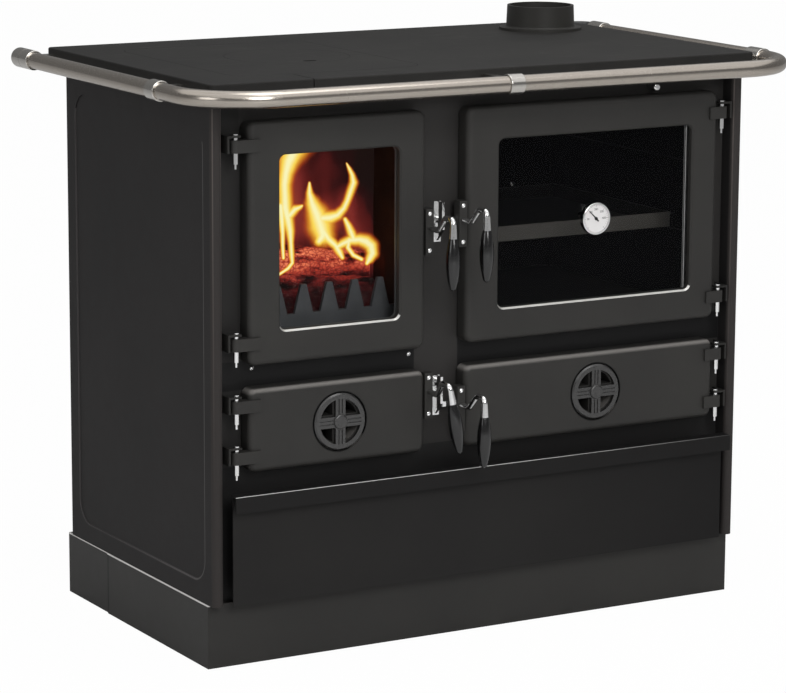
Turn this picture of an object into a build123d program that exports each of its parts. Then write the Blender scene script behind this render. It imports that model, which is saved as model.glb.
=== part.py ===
from build123d import *
import os
from dataclasses import dataclass
from math import atan2, cos, degrees, radians, sin

# Free-standing wood cookstove with an oven, in millimetres. X runs to the cook's right, Y from the cook
# to the wall and Z up from the floor. The stove is centred on X = 0, and Y = 0 is halfway between the
# front of the handrail and its rear end.

# Body of folded steel sheet, from the floor to the cooking surface
hob_top = 850.0
hob_depth = 31.0
body_width = 905.0
body_back = 267.0
sheet = 2.0
post_width = 17.0
post_round = 8.0
panel_flange = 20.0
pressing_margin = 30.0
pressing_corner = 35.0
pressing_depth = 1.5
plate_face = -193.0
plate_thickness = 4.0

# Plinth, whose rear piece slides into the front piece
plinth_height = 95.0
plinth_ledge = 1.0
plinth_setback = 19.0
plinth_rear_overhang = 16.0
plinth_rear_length = 145.0
plinth_overlap = 20.0
plinth_flange = 46.0

# Doors: a left pair over firebox and ash pan, a right pair over oven and soot space
door_thickness = 26.0
door_gap = 3.0
door_corner = 12.0
door_pillow = 9.0
left_door_margin = 40.5
right_door_margin = 28.5
fire_door_width = 289.5
upper_column_width = 69.5
lower_column_width = 68.5
door_top_gap = 27.0
upper_door_bottom = 442.5
door_row_gap = 33.0
lower_door_rise = 27.0
upper_land = 14.0
lower_land = 8.0

# Windows, glass and rope seals of the upper doors
window_bottom_margin = 48.5
window_top_margin = 49.0
fire_window_hinge_margin = 50.0
fire_window_latch_margin = 43.5
oven_window_hinge_margin = 46.5
oven_window_latch_margin = 54.5
window_corner = 10.0
window_bevel = 2.5
glass_setback = 10.0
glass_thickness = 4.0
glass_lap = 8.0
glass_play = 1.0
retainer_thickness = 3.0
seal_width = 6.0
seal_inset = 4.0
seal_groove = 3.0

# Hinges
pin_radius = 4.0
pin_tip_radius = 2.0
pin_tip_length = 7.0
pin_drop = 16.0
pin_spigot_radius = 3.0
pin_head_radius = 4.5
pin_head_height = 2.0
left_pin_outset = 19.0
right_pin_outset = 8.5
pin_setback = 4.0
leaf_height = 18.0
leaf_lap = 17.0
knuckle_radius = 8.0
hinge_head_gap = 4.0
hinge_flange = 3.0
hinge_flange_half = 6.0
hinge_side_outset = 12.0
upper_hinge_inset = 24.0
lower_hinge_inset = 15.0

# Latches
latch_width = 13.0
latch_depth = 16.0
latch_above_pivot = 28.0
latch_below_pivot = 40.0
fire_pivot_rise = 177.5
oven_pivot_rise = 185.5
ash_pivot_rise = 90.0
lower_pivot_rise = 65.0
ash_lever_tilt = 10.0
lever_radius = 4.5
lever_straight = 24.0
lever_reach = 66.0
lever_rise = 22.0
lever_bend = 9.0
ferrule_radius = 6.2
ferrule_length = 20.0
tongue_height = 8.0
tongue_thickness = 4.0
grip_drop = 6.0
grip_length = 76.0
grip_neck_radius = 6.0
grip_belly_radius = 10.5
grip_tip_radius = 4.5
grip_belly_drop = 30.4
ferrule_taper = 4.0
keeper_width = 12.0
keeper_base = 2.0
keeper_depth = 17.0
keeper_fin = 4.0
keeper_half_height = 30.0
keeper_nose = 10.0

# Air wheels
wheel_radius = 42.0
wheel_thickness = 6.0
wheel_recess_radius = 44.0
wheel_recess_depth = 4.0
wheel_rim = 8.5
wheel_hub_radius = 12.0
wheel_hub_step = 1.0
wheel_hub_rise = 3.0
wheel_hub_round = 2.7
wheel_spoke_width = 16.0
wheel_groove = 1.6
wheel_stub_radius = 5.0
wheel_stub_length = 3.5
air_port_inset = 2.0
ash_wheel_inset = 147.0
lower_wheel_inset = 229.5

# Oven thermometer
gauge_inset = 227.0
gauge_rise = 169.5
gauge_radius = 24.5
gauge_depth = 9.0
gauge_bezel = 3.0
gauge_dish = 3.5
dial_thickness = 0.8
needle_length = 17.0
needle_tail = 6.0
needle_width = 2.4
needle_thickness = 0.8
needle_hub_radius = 2.6
needle_pin_radius = 1.0
needle_angle = 45.0
stem_radius = 4.0
stem_length = 34.0
nut_radius = 9.0
nut_thickness = 5.0

# Inner welded boxes, firebox and hearth
wall = 3.0
deck_rise = 5.0
deck_inset = 37.5
shell_side_gap = 3.0
shell_back_gap = 77.0
shell_top_gap = 19.0
ash_floor_rise = 5.0
ledge_drop = 5.0
ledge_width = 50.0
brick_thickness = 25.0
brick_top_gap = 20.0
brick_rows = 2
brick_joint = 0.5
brick_front_gap = 9.0
grate_thickness = 14.0
grate_slot = 9.0
grate_bar = 9.0
guard_setback = 14.0
guard_thickness = 6.0
guard_rail_height = 65.0
guard_tooth_height = 42.0
guard_tooth_base = 30.0
guard_tooth_tip = 9.0
guard_tooth_pitch = 42.3
guard_teeth = 5
pan_height = 45.0
pan_margin = 5.0
pan_back_gap = 30.0
pan_wall = 1.5

# Oven
oven_back_gap = 37.0
tray_height = 23.0
tray_rise = 114.5
tray_front_gap = 69.0
tray_back_gap = 15.0
tray_play = 1.0
runner_rib = 9.0
upper_runner_rise = 223.5

# Wood drawer
drawer_top = 260.0
drawer_side_margin = 28.5
drawer_bottom_lap = 1.0
drawer_proud = 4.0
lip_depth = 18.0
lip_drop = 24.0
lip_overhang = 4.0
drawer_box_play = 4.0
drawer_box_drop = 35.0
drawer_box_back_gap = 47.0
drawer_port_margin = 3.0
runner_rise = 11.0
runner_height = 44.0
runner_ledge = 24.0

# Hob of cast iron
hob_side_overhang = 9.5
hob_front_overhang = 14.0
hob_back_overhang = 50.0
hob_corner = 8.0
hob_edge_round = 2.5
hob_plate_thickness = 8.0
hob_skirt = 6.0
hob_flange = 4.0
hob_flange_width = 20.0
insert_left_margin = 77.0
insert_width = 310.0
insert_front_margin = 69.0
insert_back_margin = 87.0
insert_corner = 35.0
insert_play = 0.6
insert_ledge = 8.0
insert_ledge_thickness = 4.0
seam_inset = 87.0
seam_width = 1.6
lid_side_offset = 35.0
lid_back_offset = 8.5
lid_radius = 94.0
lid_play = 0.5
lid_seat = 7.0
lid_seat_thickness = 4.0
lifter_length = 22.0
lifter_width = 9.0
lifter_inset = 22.0

# Flue collar
flue_side_margin = 107.0
flue_back_margin = 112.0
flue_bore_radius = 49.0
flue_outer_radius = 55.0
flue_rim_radius = 53.5
flue_height = 39.0
flue_flange_radius = 66.0
flue_flange_thickness = 4.0
flue_fillet = 3.0

# Handrail
rail_radius = 12.5
rail_wall = 1.5
rail_side_reach = 39.0
rail_front_reach = 79.0
rail_drop = 14.5
rail_corner = 105.0
rail_left_end_margin = 15.0
rail_right_end_margin = 44.0
sleeve_radius = 15.0
sleeve_round = 1.2
cap_length = 28.0
left_rear_sleeve_length = 28.0
left_front_sleeve_inset = 73.0
left_front_sleeve_length = 28.0
right_front_sleeve_inset = 30.0
right_front_sleeve_length = 36.0
right_rear_sleeve_length = 37.0
centre_sleeve_x = -16.0
centre_sleeve_length = 24.0
arm_width = 14.0
elbow_margin = 15.0
elbow_bend = 22.0

# Damper slide
damper_side_margin = 107.0
damper_drop = 16.0
damper_rod_radius = 3.0
damper_rod_reach = 129.0
damper_knob_radius = 6.0
damper_knob_length = 21.5
damper_plate_width = 80.0
damper_plate_length = 120.0

# Fits and clearances
running_fit = 0.05
slide_gap = 0.3
tongue_gap = 0.5
keeper_gap = 3.5

# Worked out from the values above
body_half_width = body_width / 2
body_top = hob_top - hob_depth
plate_back = plate_face + plate_thickness
door_back = plate_face - door_gap
door_face = door_back - door_thickness
post_front = door_face
post_inner = body_half_width - post_width
plinth_front_y = post_front + plinth_setback
plinth_back_y = body_back + plinth_rear_overhang
plinth_seam = plinth_back_y - plinth_rear_length
plinth_half_width = body_half_width + plinth_ledge
panel_inner = body_half_width - sheet
doors_left = left_door_margin - post_inner
doors_right = post_inner - right_door_margin
oven_door_width = doors_right - doors_left - fire_door_width - upper_column_width
lower_door_width = doors_right - doors_left - fire_door_width - lower_column_width
upper_door_height = body_top - door_top_gap - upper_door_bottom
lower_door_bottom = drawer_top + lower_door_rise
lower_door_height = upper_door_bottom - door_row_gap - lower_door_bottom
wheel_height = lower_door_bottom + lower_door_height / 2
pin_y = door_face + pin_setback
glass_front = door_face + glass_setback
glass_back = glass_front + glass_thickness
lever_tip_y = door_face - lever_reach
wheel_floor = door_face + wheel_recess_depth
deck_height = drawer_top + deck_rise
deck_underside = deck_height - wall
deck_half_width = body_half_width - deck_inset
ash_floor_height = lower_door_bottom + ash_floor_rise
ledge_height = upper_door_bottom - ledge_drop
guard_valley_height = ledge_height + guard_rail_height
drawer_half_width = body_half_width - drawer_side_margin
drawer_box_half_width = deck_half_width - 2 * wall - drawer_box_play
drawer_box_bottom = plinth_height + runner_rise + wall + slide_gap
drawer_box_top = drawer_top - drawer_box_drop
drawer_box_back = body_back - drawer_box_back_gap
drawer_face = door_face - drawer_proud
hob_half_width = body_half_width + hob_side_overhang
hob_front = post_front - hob_front_overhang
hob_back = body_back + hob_back_overhang
hob_underside = hob_top - hob_plate_thickness
rail_x = hob_half_width + rail_side_reach
rail_y = hob_front - rail_front_reach
rail_height = hob_top - rail_drop
rail_left_end = hob_back - rail_left_end_margin
rail_right_end = hob_back - rail_right_end_margin
elbow_y = hob_back - elbow_margin
damper_x = doors_right - damper_side_margin
damper_height = body_top - damper_drop
damper_rod_back = plate_back + damper_rod_reach

os.makedirs("parts", exist_ok=True)


@dataclass
class Door:
    """Outline of a door and the places of its hinges and latch. The hinges are at side -1 or +1."""

    name: str
    side: int
    width: float
    bottom: float
    height: float
    hinge_inset: float
    pivot_rise: float
    land: float
    lever_tilt: float = 0.0

    def __post_init__(self):
        self.hinge_edge = doors_left if self.side < 0 else doors_right
        self.free_edge = self.hinge_edge - self.side * self.width
        self.left = min(self.hinge_edge, self.free_edge)
        self.right = max(self.hinge_edge, self.free_edge)
        self.top = self.bottom + self.height
        self.pin_outset = left_pin_outset if self.side < 0 else right_pin_outset
        self.pin_x = self.hinge_edge + self.side * self.pin_outset
        self.pivot_x = self.free_edge - self.side * latch_width / 2
        self.pivot_height = self.bottom + self.pivot_rise
        self.leaf_bottoms = (
            self.bottom + self.hinge_inset,
            self.top - self.hinge_inset - leaf_height,
        )

    def opening(self):
        """Limits of the hole in the front plate that this door covers."""
        return (
            self.left + self.land,
            self.right - self.land,
            self.bottom + self.land,
            self.top - self.land,
        )


fire = Door(
    "fire", -1, fire_door_width, upper_door_bottom, upper_door_height,
    upper_hinge_inset, fire_pivot_rise, upper_land,
)
oven = Door(
    "oven", 1, oven_door_width, upper_door_bottom, upper_door_height,
    upper_hinge_inset, oven_pivot_rise, upper_land,
)
ash = Door(
    "ash", -1, fire_door_width, lower_door_bottom, lower_door_height,
    lower_hinge_inset, ash_pivot_rise, lower_land, ash_lever_tilt,
)
lower = Door(
    "lower", 1, lower_door_width, lower_door_bottom, lower_door_height,
    lower_hinge_inset, lower_pivot_rise, lower_land,
)
doors = (fire, oven, ash, lower)


def save(part, name):
    """Labels a finished piece and writes it to its own file."""
    part.label = name
    export_step(part, f"parts/{name}.step")


def facing(y):
    """Plane at the given Y whose sketches use X and Z and whose extrusions run to the front."""
    return Plane.XZ.offset(-y)


def between(low_1, high_1, low_2, high_2, corner=0.0, mode=Mode.ADD):
    """Rectangle of the open sketch, by its limits along the sketch's two axes."""
    with Locations(((low_1 + high_1) / 2, (low_2 + high_2) / 2)):
        if corner:
            RectangleRounded(high_1 - low_1, high_2 - low_2, corner, mode=mode)
        else:
            Rectangle(high_1 - low_1, high_2 - low_2, mode=mode)


def block(low_x, high_x, low_y, high_y, low_z, high_z, mode=Mode.ADD):
    """Box of the open part, by its limits."""
    with Locations(((low_x + high_x) / 2, (low_y + high_y) / 2, (low_z + high_z) / 2)):
        Box(high_x - low_x, high_y - low_y, high_z - low_z, mode=mode)


def welded(*limits):
    """Flat sheets, given by their limits, that meet edge to face. Each stays a solid of its own."""
    plates = []
    for limit in limits:
        with BuildPart() as plate:
            block(*limit)
        plates.append(plate.part.solid())
    return Compound(plates)


def welded_tray(left, right, front, back, bottom, top, gauge):
    """Floor and four walls of a box that is open at the top."""
    floor = bottom + gauge
    return welded(
        (left, right, front, back, bottom, floor),
        (left, left + gauge, front, back, floor, top),
        (right - gauge, right, front, back, floor, top),
        (left + gauge, right - gauge, front, front + gauge, floor, top),
        (left + gauge, right - gauge, back - gauge, back, floor, top),
    )


def side_block(side, near_x, far_x, low_y, high_y, low_z, high_z, mode=Mode.ADD):
    """Box whose X limits are given as distances from the middle, on the left (-1) or right (+1)."""
    low_x, high_x = sorted((side * near_x, side * far_x))
    block(low_x, high_x, low_y, high_y, low_z, high_z, mode)


# ---------------------------------------------------------------------------------------------------
# Plinth
# ---------------------------------------------------------------------------------------------------
with BuildPart() as plinth_front:
    w = plinth_half_width
    block(-w, w, plinth_front_y, plinth_seam, 0, plinth_height)
    block(
        sheet - w, w - sheet, plinth_front_y + sheet, plinth_seam,
        sheet, plinth_height - sheet, mode=Mode.SUBTRACT,
    )
    block(
        plinth_flange - w, w - plinth_flange, plinth_front_y + plinth_flange, plinth_seam,
        0, plinth_height, mode=Mode.SUBTRACT,
    )
save(plinth_front.part, "plinth_front")

with BuildPart() as plinth_rear:
    w = plinth_half_width - sheet
    start = plinth_seam - plinth_overlap
    block(-w, w, start, plinth_back_y, 0, plinth_height)
    block(
        sheet - w, w - sheet, start, plinth_back_y - sheet,
        sheet, plinth_height - sheet, mode=Mode.SUBTRACT,
    )
    block(
        plinth_flange - w, w - plinth_flange, start, plinth_back_y - plinth_flange,
        0, plinth_height, mode=Mode.SUBTRACT,
    )
    for low, high in ((0, sheet), (plinth_height - sheet, plinth_height)):
        block(-w, w, start, plinth_seam, low, high, mode=Mode.SUBTRACT)
save(plinth_rear.part, "plinth_rear")


# ---------------------------------------------------------------------------------------------------
# Outer body
# ---------------------------------------------------------------------------------------------------
def side_panel(side):
    """Side sheet with a pressed field, a rounded hollow corner post and flanges at top and bottom."""
    with BuildPart() as panel:
        side_block(side, post_inner, body_half_width, post_front, plate_back, plinth_height, body_top)
        front_edges = panel.edges().filter_by(Axis.Z).group_by(Axis.Y)[0]
        fillet(front_edges, post_round)
        side_block(side, panel_inner, body_half_width, plate_back, body_back, plinth_height, body_top)
        side_block(
            side, post_inner + sheet, panel_inner, post_front + post_round, plate_back,
            plinth_height, body_top, mode=Mode.SUBTRACT,
        )
        for low in (plinth_height, body_top - sheet):
            side_block(
                side, panel_inner - panel_flange, panel_inner, plate_back, body_back - sheet,
                low, low + sheet,
            )
        field = (
            post_front + pressing_margin, body_back - pressing_margin,
            plinth_height + pressing_margin, body_top - pressing_margin,
        )
        with BuildSketch(Plane.YZ.offset(side * panel_inner)):
            between(*field, corner=pressing_corner)
        extrude(amount=-side * pressing_depth)
        with BuildSketch(Plane.YZ.offset(side * body_half_width)):
            between(*field, corner=pressing_corner)
        extrude(amount=-side * pressing_depth, mode=Mode.SUBTRACT)
    return panel.part


save(side_panel(-1), "side_panel_left")
save(side_panel(1), "side_panel_right")

with BuildPart() as back_panel:
    block(-panel_inner, panel_inner, body_back - sheet, body_back, plinth_height, body_top)
save(back_panel.part, "back_panel")

with BuildPart() as front_plate:
    with BuildSketch(facing(plate_back)):
        between(-post_inner, post_inner, plinth_height, body_top)
        for door in doors:
            between(*door.opening(), mode=Mode.SUBTRACT)
        between(
            -drawer_box_half_width - drawer_port_margin, drawer_box_half_width + drawer_port_margin,
            drawer_box_bottom - drawer_port_margin, drawer_box_top + drawer_port_margin,
            mode=Mode.SUBTRACT,
        )
        with Locations((damper_x, damper_height)):
            Circle(damper_rod_radius + running_fit, mode=Mode.SUBTRACT)
    extrude(amount=plate_thickness)
save(front_plate.part, "front_plate")

with BuildPart() as hearth_deck:
    block(-deck_half_width, deck_half_width, plate_back, body_back - sheet, plinth_height, deck_height)
    block(
        wall - deck_half_width, deck_half_width - wall, plate_back, body_back - sheet,
        plinth_height, deck_underside, mode=Mode.SUBTRACT,
    )
save(hearth_deck.part, "hearth_deck")

# ---------------------------------------------------------------------------------------------------
# Firebox
# ---------------------------------------------------------------------------------------------------
shell_left = fire.left - shell_side_gap
shell_right = fire.right + shell_side_gap + brick_thickness
shell_back = body_back - shell_back_gap
shell_top = body_top - shell_top_gap
firebox_left = shell_left + wall
firebox_right = shell_right - wall
brick_back = shell_back - wall
chamber_left = firebox_left + brick_thickness
chamber_right = firebox_right - brick_thickness
chamber_back = brick_back - brick_thickness
chamber_front = plate_back + brick_front_gap
brick_top = shell_top - brick_top_gap

with BuildPart() as firebox_shell:
    block(shell_left, shell_right, plate_back, shell_back, deck_height, shell_top)
    block(
        firebox_left, firebox_right, plate_back, brick_back,
        deck_height, shell_top, mode=Mode.SUBTRACT,
    )
    block(firebox_left, firebox_right, plate_back, brick_back, ash_floor_height - wall, ash_floor_height)
    block(firebox_left, firebox_right, plate_back, brick_back, ledge_height - wall, ledge_height)
    block(
        firebox_left + ledge_width, firebox_right - ledge_width,
        plate_back + ledge_width, brick_back - ledge_width,
        ledge_height - wall, ledge_height, mode=Mode.SUBTRACT,
    )
save(firebox_shell.part, "firebox_shell")

with BuildPart() as firebricks:
    row_height = (brick_top - ledge_height) / brick_rows
    side_middle = (chamber_front + brick_back) / 2
    back_middle = (chamber_left + chamber_right) / 2
    bricks = [
        (near, far, start, end)
        for near, far in ((firebox_left, chamber_left), (chamber_right, firebox_right))
        for start, end in ((chamber_front, side_middle), (side_middle + brick_joint, brick_back))
    ]
    bricks += [
        (near, far, chamber_back, brick_back)
        for near, far in (
            (chamber_left + brick_joint, back_middle),
            (back_middle + brick_joint, chamber_right - brick_joint),
        )
    ]
    for row in range(brick_rows):
        low = ledge_height + row * row_height
        for near, far, start, end in bricks:
            block(near, far, start, end, low, low + row_height - brick_joint)
save(firebricks.part, "firebricks")

grate_left = chamber_left + slide_gap
grate_right = chamber_right - slide_gap
guard_y = chamber_front + guard_setback
grate_front = guard_y + slide_gap
grate_back = chamber_back - slide_gap
with BuildPart() as grate:
    block(grate_left, grate_right, grate_front, grate_back, ledge_height, ledge_height + grate_thickness)
    slots_width = grate_right - grate_left - 2 * ledge_width
    slot_count = int(slots_width // (grate_slot + grate_bar))
    slot_length = grate_back - grate_front - 2 * ledge_width
    with BuildSketch(Plane.XY.offset(ledge_height)):
        with Locations(((grate_left + grate_right) / 2, (grate_front + grate_back) / 2)):
            with GridLocations(grate_slot + grate_bar, slot_length, slot_count, 1):
                SlotOverall(slot_length, grate_slot, rotation=90)
    extrude(amount=grate_thickness, mode=Mode.SUBTRACT)
save(grate.part, "grate")

with BuildPart() as log_guard:
    with BuildSketch(facing(guard_y)):
        between(grate_left, grate_right, ledge_height, guard_valley_height)
        tooth_angle = degrees(atan2(2 * guard_tooth_height, guard_tooth_base - guard_tooth_tip))
        teeth_middle = (grate_left + grate_right) / 2
        with Locations((teeth_middle, guard_valley_height)):
            with GridLocations(guard_tooth_pitch, 1, guard_teeth, 1):
                Trapezoid(
                    guard_tooth_base, guard_tooth_height, tooth_angle, align=(Align.CENTER, Align.MIN)
                )
    extrude(amount=guard_thickness)
save(log_guard.part, "log_guard")

port_left, port_right, *_ = ash.opening()
ash_pan = welded_tray(
    port_left + pan_margin, port_right - pan_margin, plate_back + pan_margin, shell_back - pan_back_gap,
    ash_floor_height, ash_floor_height + pan_height, pan_wall,
)
save(ash_pan, "ash_pan")

# ---------------------------------------------------------------------------------------------------
# Oven
# ---------------------------------------------------------------------------------------------------
oven_left, oven_right, oven_floor, oven_ceiling = oven.opening()
oven_back = body_back - oven_back_gap
tray_floor = oven_floor + tray_rise
upper_runner_height = oven_floor + upper_runner_rise

oven_inner_back = oven_back - sheet
oven_ribs = [
    (rib_left, rib_left + runner_rib, plate_back, oven_inner_back, rib_top - wall, rib_top)
    for rib_left in (oven_left, oven_right - runner_rib)
    for rib_top in (tray_floor, upper_runner_height)
]
oven_box = welded(
    (oven_left - sheet, oven_right + sheet, plate_back, oven_back, oven_floor - sheet, oven_floor),
    (oven_left - sheet, oven_right + sheet, plate_back, oven_back, oven_ceiling, oven_ceiling + sheet),
    (oven_left - sheet, oven_left, plate_back, oven_back, oven_floor, oven_ceiling),
    (oven_right, oven_right + sheet, plate_back, oven_back, oven_floor, oven_ceiling),
    (oven_left, oven_right, oven_inner_back, oven_back, oven_floor, oven_ceiling),
    *oven_ribs,
)
save(oven_box, "oven_box")

oven_shelf = welded_tray(
    oven_left + tray_play, oven_right - tray_play, plate_back + tray_front_gap, oven_back - tray_back_gap,
    tray_floor, tray_floor + tray_height, pan_wall,
)
save(oven_shelf, "oven_shelf")

# ---------------------------------------------------------------------------------------------------
# Wood drawer
# ---------------------------------------------------------------------------------------------------
with BuildPart() as drawer_front:
    lip_face = drawer_face - lip_depth
    block(
        -drawer_half_width, drawer_half_width, drawer_face, drawer_face + sheet,
        plinth_height - drawer_bottom_lap, drawer_top,
    )
    w = drawer_half_width + lip_overhang
    block(-w, w, lip_face, drawer_face + sheet, drawer_top - sheet, drawer_top)
    block(-w, w, lip_face, lip_face + sheet, drawer_top - lip_drop, drawer_top)
    lip_edge = drawer_front.edges().filter_by(Axis.X).group_by(Axis.Z)[-1].sort_by(Axis.Y)[0]
    fillet(lip_edge, sheet)
save(drawer_front.part, "drawer_front")

drawer_box = welded_tray(
    -drawer_box_half_width, drawer_box_half_width, drawer_face + sheet, drawer_box_back,
    drawer_box_bottom, drawer_box_top, pan_wall,
)
save(drawer_box, "drawer_box")

with BuildPart() as drawer_runners:
    runner_outer = deck_half_width - wall
    runner_bottom = plinth_height + runner_rise
    for side in (-1, 1):
        side_block(
            side, runner_outer - wall, runner_outer, plate_back, drawer_box_back,
            runner_bottom, runner_bottom + runner_height,
        )
        side_block(
            side, runner_outer - runner_ledge, runner_outer, plate_back, drawer_box_back,
            runner_bottom, runner_bottom + wall,
        )
save(drawer_runners.part, "drawer_runners")

# ---------------------------------------------------------------------------------------------------
# Hob
# ---------------------------------------------------------------------------------------------------
insert_left = insert_left_margin - hob_half_width
insert_right = insert_left + insert_width
insert_front = hob_front + insert_front_margin
insert_back = hob_back - insert_back_margin
seam_x = insert_left + seam_inset
lid_x = (insert_left + insert_right) / 2 + lid_side_offset
lid_y = (insert_front + insert_back) / 2 + lid_back_offset
flue_x = hob_half_width - flue_side_margin
flue_y = hob_back - flue_back_margin

with BuildPart() as hob_frame:
    w = hob_half_width
    block(-w, w, hob_front, hob_back, body_top, hob_top)
    fillet(hob_frame.edges().filter_by(Axis.Z), hob_corner)
    fillet(hob_frame.faces().sort_by(Axis.Z)[-1].edges(), hob_edge_round)
    block(
        hob_skirt - w, w - hob_skirt, hob_front + hob_skirt, hob_back - hob_skirt,
        body_top + hob_flange, hob_underside, mode=Mode.SUBTRACT,
    )
    block(
        hob_flange_width - w, w - hob_flange_width, plate_back, body_back - sheet,
        body_top, body_top + hob_flange, mode=Mode.SUBTRACT,
    )
    with BuildSketch(Plane.XY.offset(hob_underside - insert_ledge_thickness)):
        between(
            insert_left - insert_ledge, insert_right + insert_ledge,
            insert_front - insert_ledge, insert_back + insert_ledge, insert_corner + insert_ledge,
        )
        between(
            insert_left + insert_ledge, insert_right - insert_ledge,
            insert_front + insert_ledge, insert_back - insert_ledge, insert_corner - insert_ledge,
            mode=Mode.SUBTRACT,
        )
    extrude(amount=insert_ledge_thickness)
    with BuildSketch(Plane.XY.offset(hob_underside)):
        between(
            insert_left - insert_play, insert_right + insert_play,
            insert_front - insert_play, insert_back + insert_play, insert_corner + insert_play,
        )
    extrude(amount=hob_plate_thickness, mode=Mode.SUBTRACT)
    block(
        seam_x - seam_width / 2, seam_x + seam_width / 2, hob_front, insert_front - insert_ledge,
        body_top, hob_top, mode=Mode.SUBTRACT,
    )
    with BuildSketch(Plane.XY.offset(hob_underside)):
        with Locations((flue_x, flue_y)):
            Circle(flue_bore_radius)
    extrude(amount=hob_plate_thickness, mode=Mode.SUBTRACT)
save(hob_frame.part, "hob_frame")

with BuildPart() as hob_plate:
    with BuildSketch(Plane.XY.offset(hob_underside)):
        between(insert_left, insert_right, insert_front, insert_back, insert_corner)
        with Locations((lid_x, lid_y)):
            Circle(lid_radius + lid_play - lid_seat, mode=Mode.SUBTRACT)
    extrude(amount=hob_plate_thickness)
    with BuildSketch(Plane.XY.offset(hob_underside + lid_seat_thickness)):
        with Locations((lid_x, lid_y)):
            Circle(lid_radius + lid_play)
    extrude(amount=hob_plate_thickness - lid_seat_thickness, mode=Mode.SUBTRACT)
save(hob_plate.part, "hob_plate")

with BuildPart() as hob_lid:
    with BuildSketch(Plane.XY.offset(hob_underside)):
        with Locations((lid_x, lid_y)):
            Circle(lid_radius - lid_seat)
    extrude(amount=lid_seat_thickness)
    with BuildSketch(Plane.XY.offset(hob_underside + lid_seat_thickness)):
        with Locations((lid_x, lid_y)):
            Circle(lid_radius)
    extrude(amount=hob_plate_thickness - lid_seat_thickness)
    with BuildSketch(Plane.XY.offset(hob_top)):
        with Locations((lid_x, lid_y - lid_radius + lifter_inset)):
            SlotOverall(lifter_length, lifter_width)
    extrude(amount=-lid_seat_thickness, mode=Mode.SUBTRACT)
save(hob_lid.part, "hob_lid")

with BuildPart() as flue_collar:
    flange_top = hob_top + flue_flange_thickness
    rim_top = hob_top + flue_height
    with BuildSketch(facing(flue_y)):
        with BuildLine():
            Polyline(
                (flue_x + flue_bore_radius, hob_top), (flue_x + flue_flange_radius, hob_top),
                (flue_x + flue_flange_radius, flange_top), (flue_x + flue_outer_radius, flange_top),
                (flue_x + flue_rim_radius, rim_top), (flue_x + flue_bore_radius, rim_top), close=True,
            )
        make_face()
    revolve(axis=Axis((flue_x, flue_y, 0), (0, 0, 1)))
    neck = flue_collar.edges().filter_by(GeomType.CIRCLE).filter_by_position(
        Axis.Z, flange_top - running_fit, flange_top + running_fit
    )
    fillet(neck.sort_by(SortBy.RADIUS)[0], flue_fillet)
save(flue_collar.part, "flue_collar")

# ---------------------------------------------------------------------------------------------------
# Handrail
# ---------------------------------------------------------------------------------------------------
with BuildPart() as handrail:
    with BuildLine(Plane.XY.offset(rail_height)) as rail_line:
        FilletPolyline(
            (-rail_x, rail_left_end), (-rail_x, rail_y), (rail_x, rail_y), (rail_x, rail_right_end),
            radius=rail_corner,
        )
    with BuildSketch(Plane(rail_line.line @ 0, z_dir=rail_line.line % 0)):
        Circle(rail_radius)
        Circle(rail_radius - rail_wall, mode=Mode.SUBTRACT)
    sweep(path=rail_line.line)
save(handrail.part, "handrail")

sleeves = (
    (-1, rail_left_end - left_rear_sleeve_length, left_rear_sleeve_length, True),
    (-1, hob_front + left_front_sleeve_inset, left_front_sleeve_length, True),
    (1, hob_front + right_front_sleeve_inset, right_front_sleeve_length, True),
    (1, rail_right_end - right_rear_sleeve_length, right_rear_sleeve_length, False),
)
with BuildPart() as rail_fittings:
    for side, start, length, has_arm in sleeves:
        with BuildSketch(facing(start + length)):
            with Locations((side * rail_x, rail_height)):
                Circle(sleeve_radius)
        extrude(amount=length)
        if has_arm:
            middle = start + length / 2
            side_block(
                side, hob_half_width, rail_x, middle - arm_width / 2, middle + arm_width / 2,
                rail_height - arm_width / 2, rail_height + arm_width / 2,
            )
    with BuildSketch(Plane.YZ.offset(centre_sleeve_x - centre_sleeve_length / 2)):
        with Locations((rail_y, rail_height)):
            Circle(sleeve_radius)
    extrude(amount=centre_sleeve_length)
    block(
        centre_sleeve_x - arm_width / 2, centre_sleeve_x + arm_width / 2, rail_y, hob_front,
        rail_height - arm_width / 2, rail_height + arm_width / 2,
    )
    sleeve_rims = rail_fittings.edges().filter_by(GeomType.CIRCLE)
    fillet(sleeve_rims, sleeve_round)
    bore = rail_radius + running_fit
    for side in (-1, 1):
        with BuildSketch(facing(rail_left_end)):
            with Locations((side * rail_x, rail_height)):
                Circle(bore)
        extrude(amount=rail_left_end - rail_y, mode=Mode.SUBTRACT)
    with BuildSketch(Plane.YZ.offset(-rail_x)):
        with Locations((rail_y, rail_height)):
            Circle(bore)
    extrude(amount=2 * rail_x, mode=Mode.SUBTRACT)
    with BuildSketch(facing(rail_left_end + cap_length)):
        with Locations((-rail_x, rail_height)):
            Circle(sleeve_radius)
    extrude(amount=cap_length)
    cap_rim = rail_fittings.edges().filter_by(GeomType.CIRCLE).sort_by(Axis.Y)[-1]
    fillet(cap_rim, 2 * sleeve_round)
save(rail_fittings.part, "rail_fittings")

with BuildPart() as rail_elbow:
    with BuildLine(Plane.XY.offset(rail_height)) as elbow_line:
        FilletPolyline(
            (rail_x, rail_right_end), (rail_x, elbow_y), (hob_half_width, elbow_y), radius=elbow_bend
        )
    with BuildSketch(Plane(elbow_line.line @ 0, z_dir=elbow_line.line % 0)):
        Circle(rail_radius)
    sweep(path=elbow_line.line)
save(rail_elbow.part, "rail_elbow")

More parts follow.
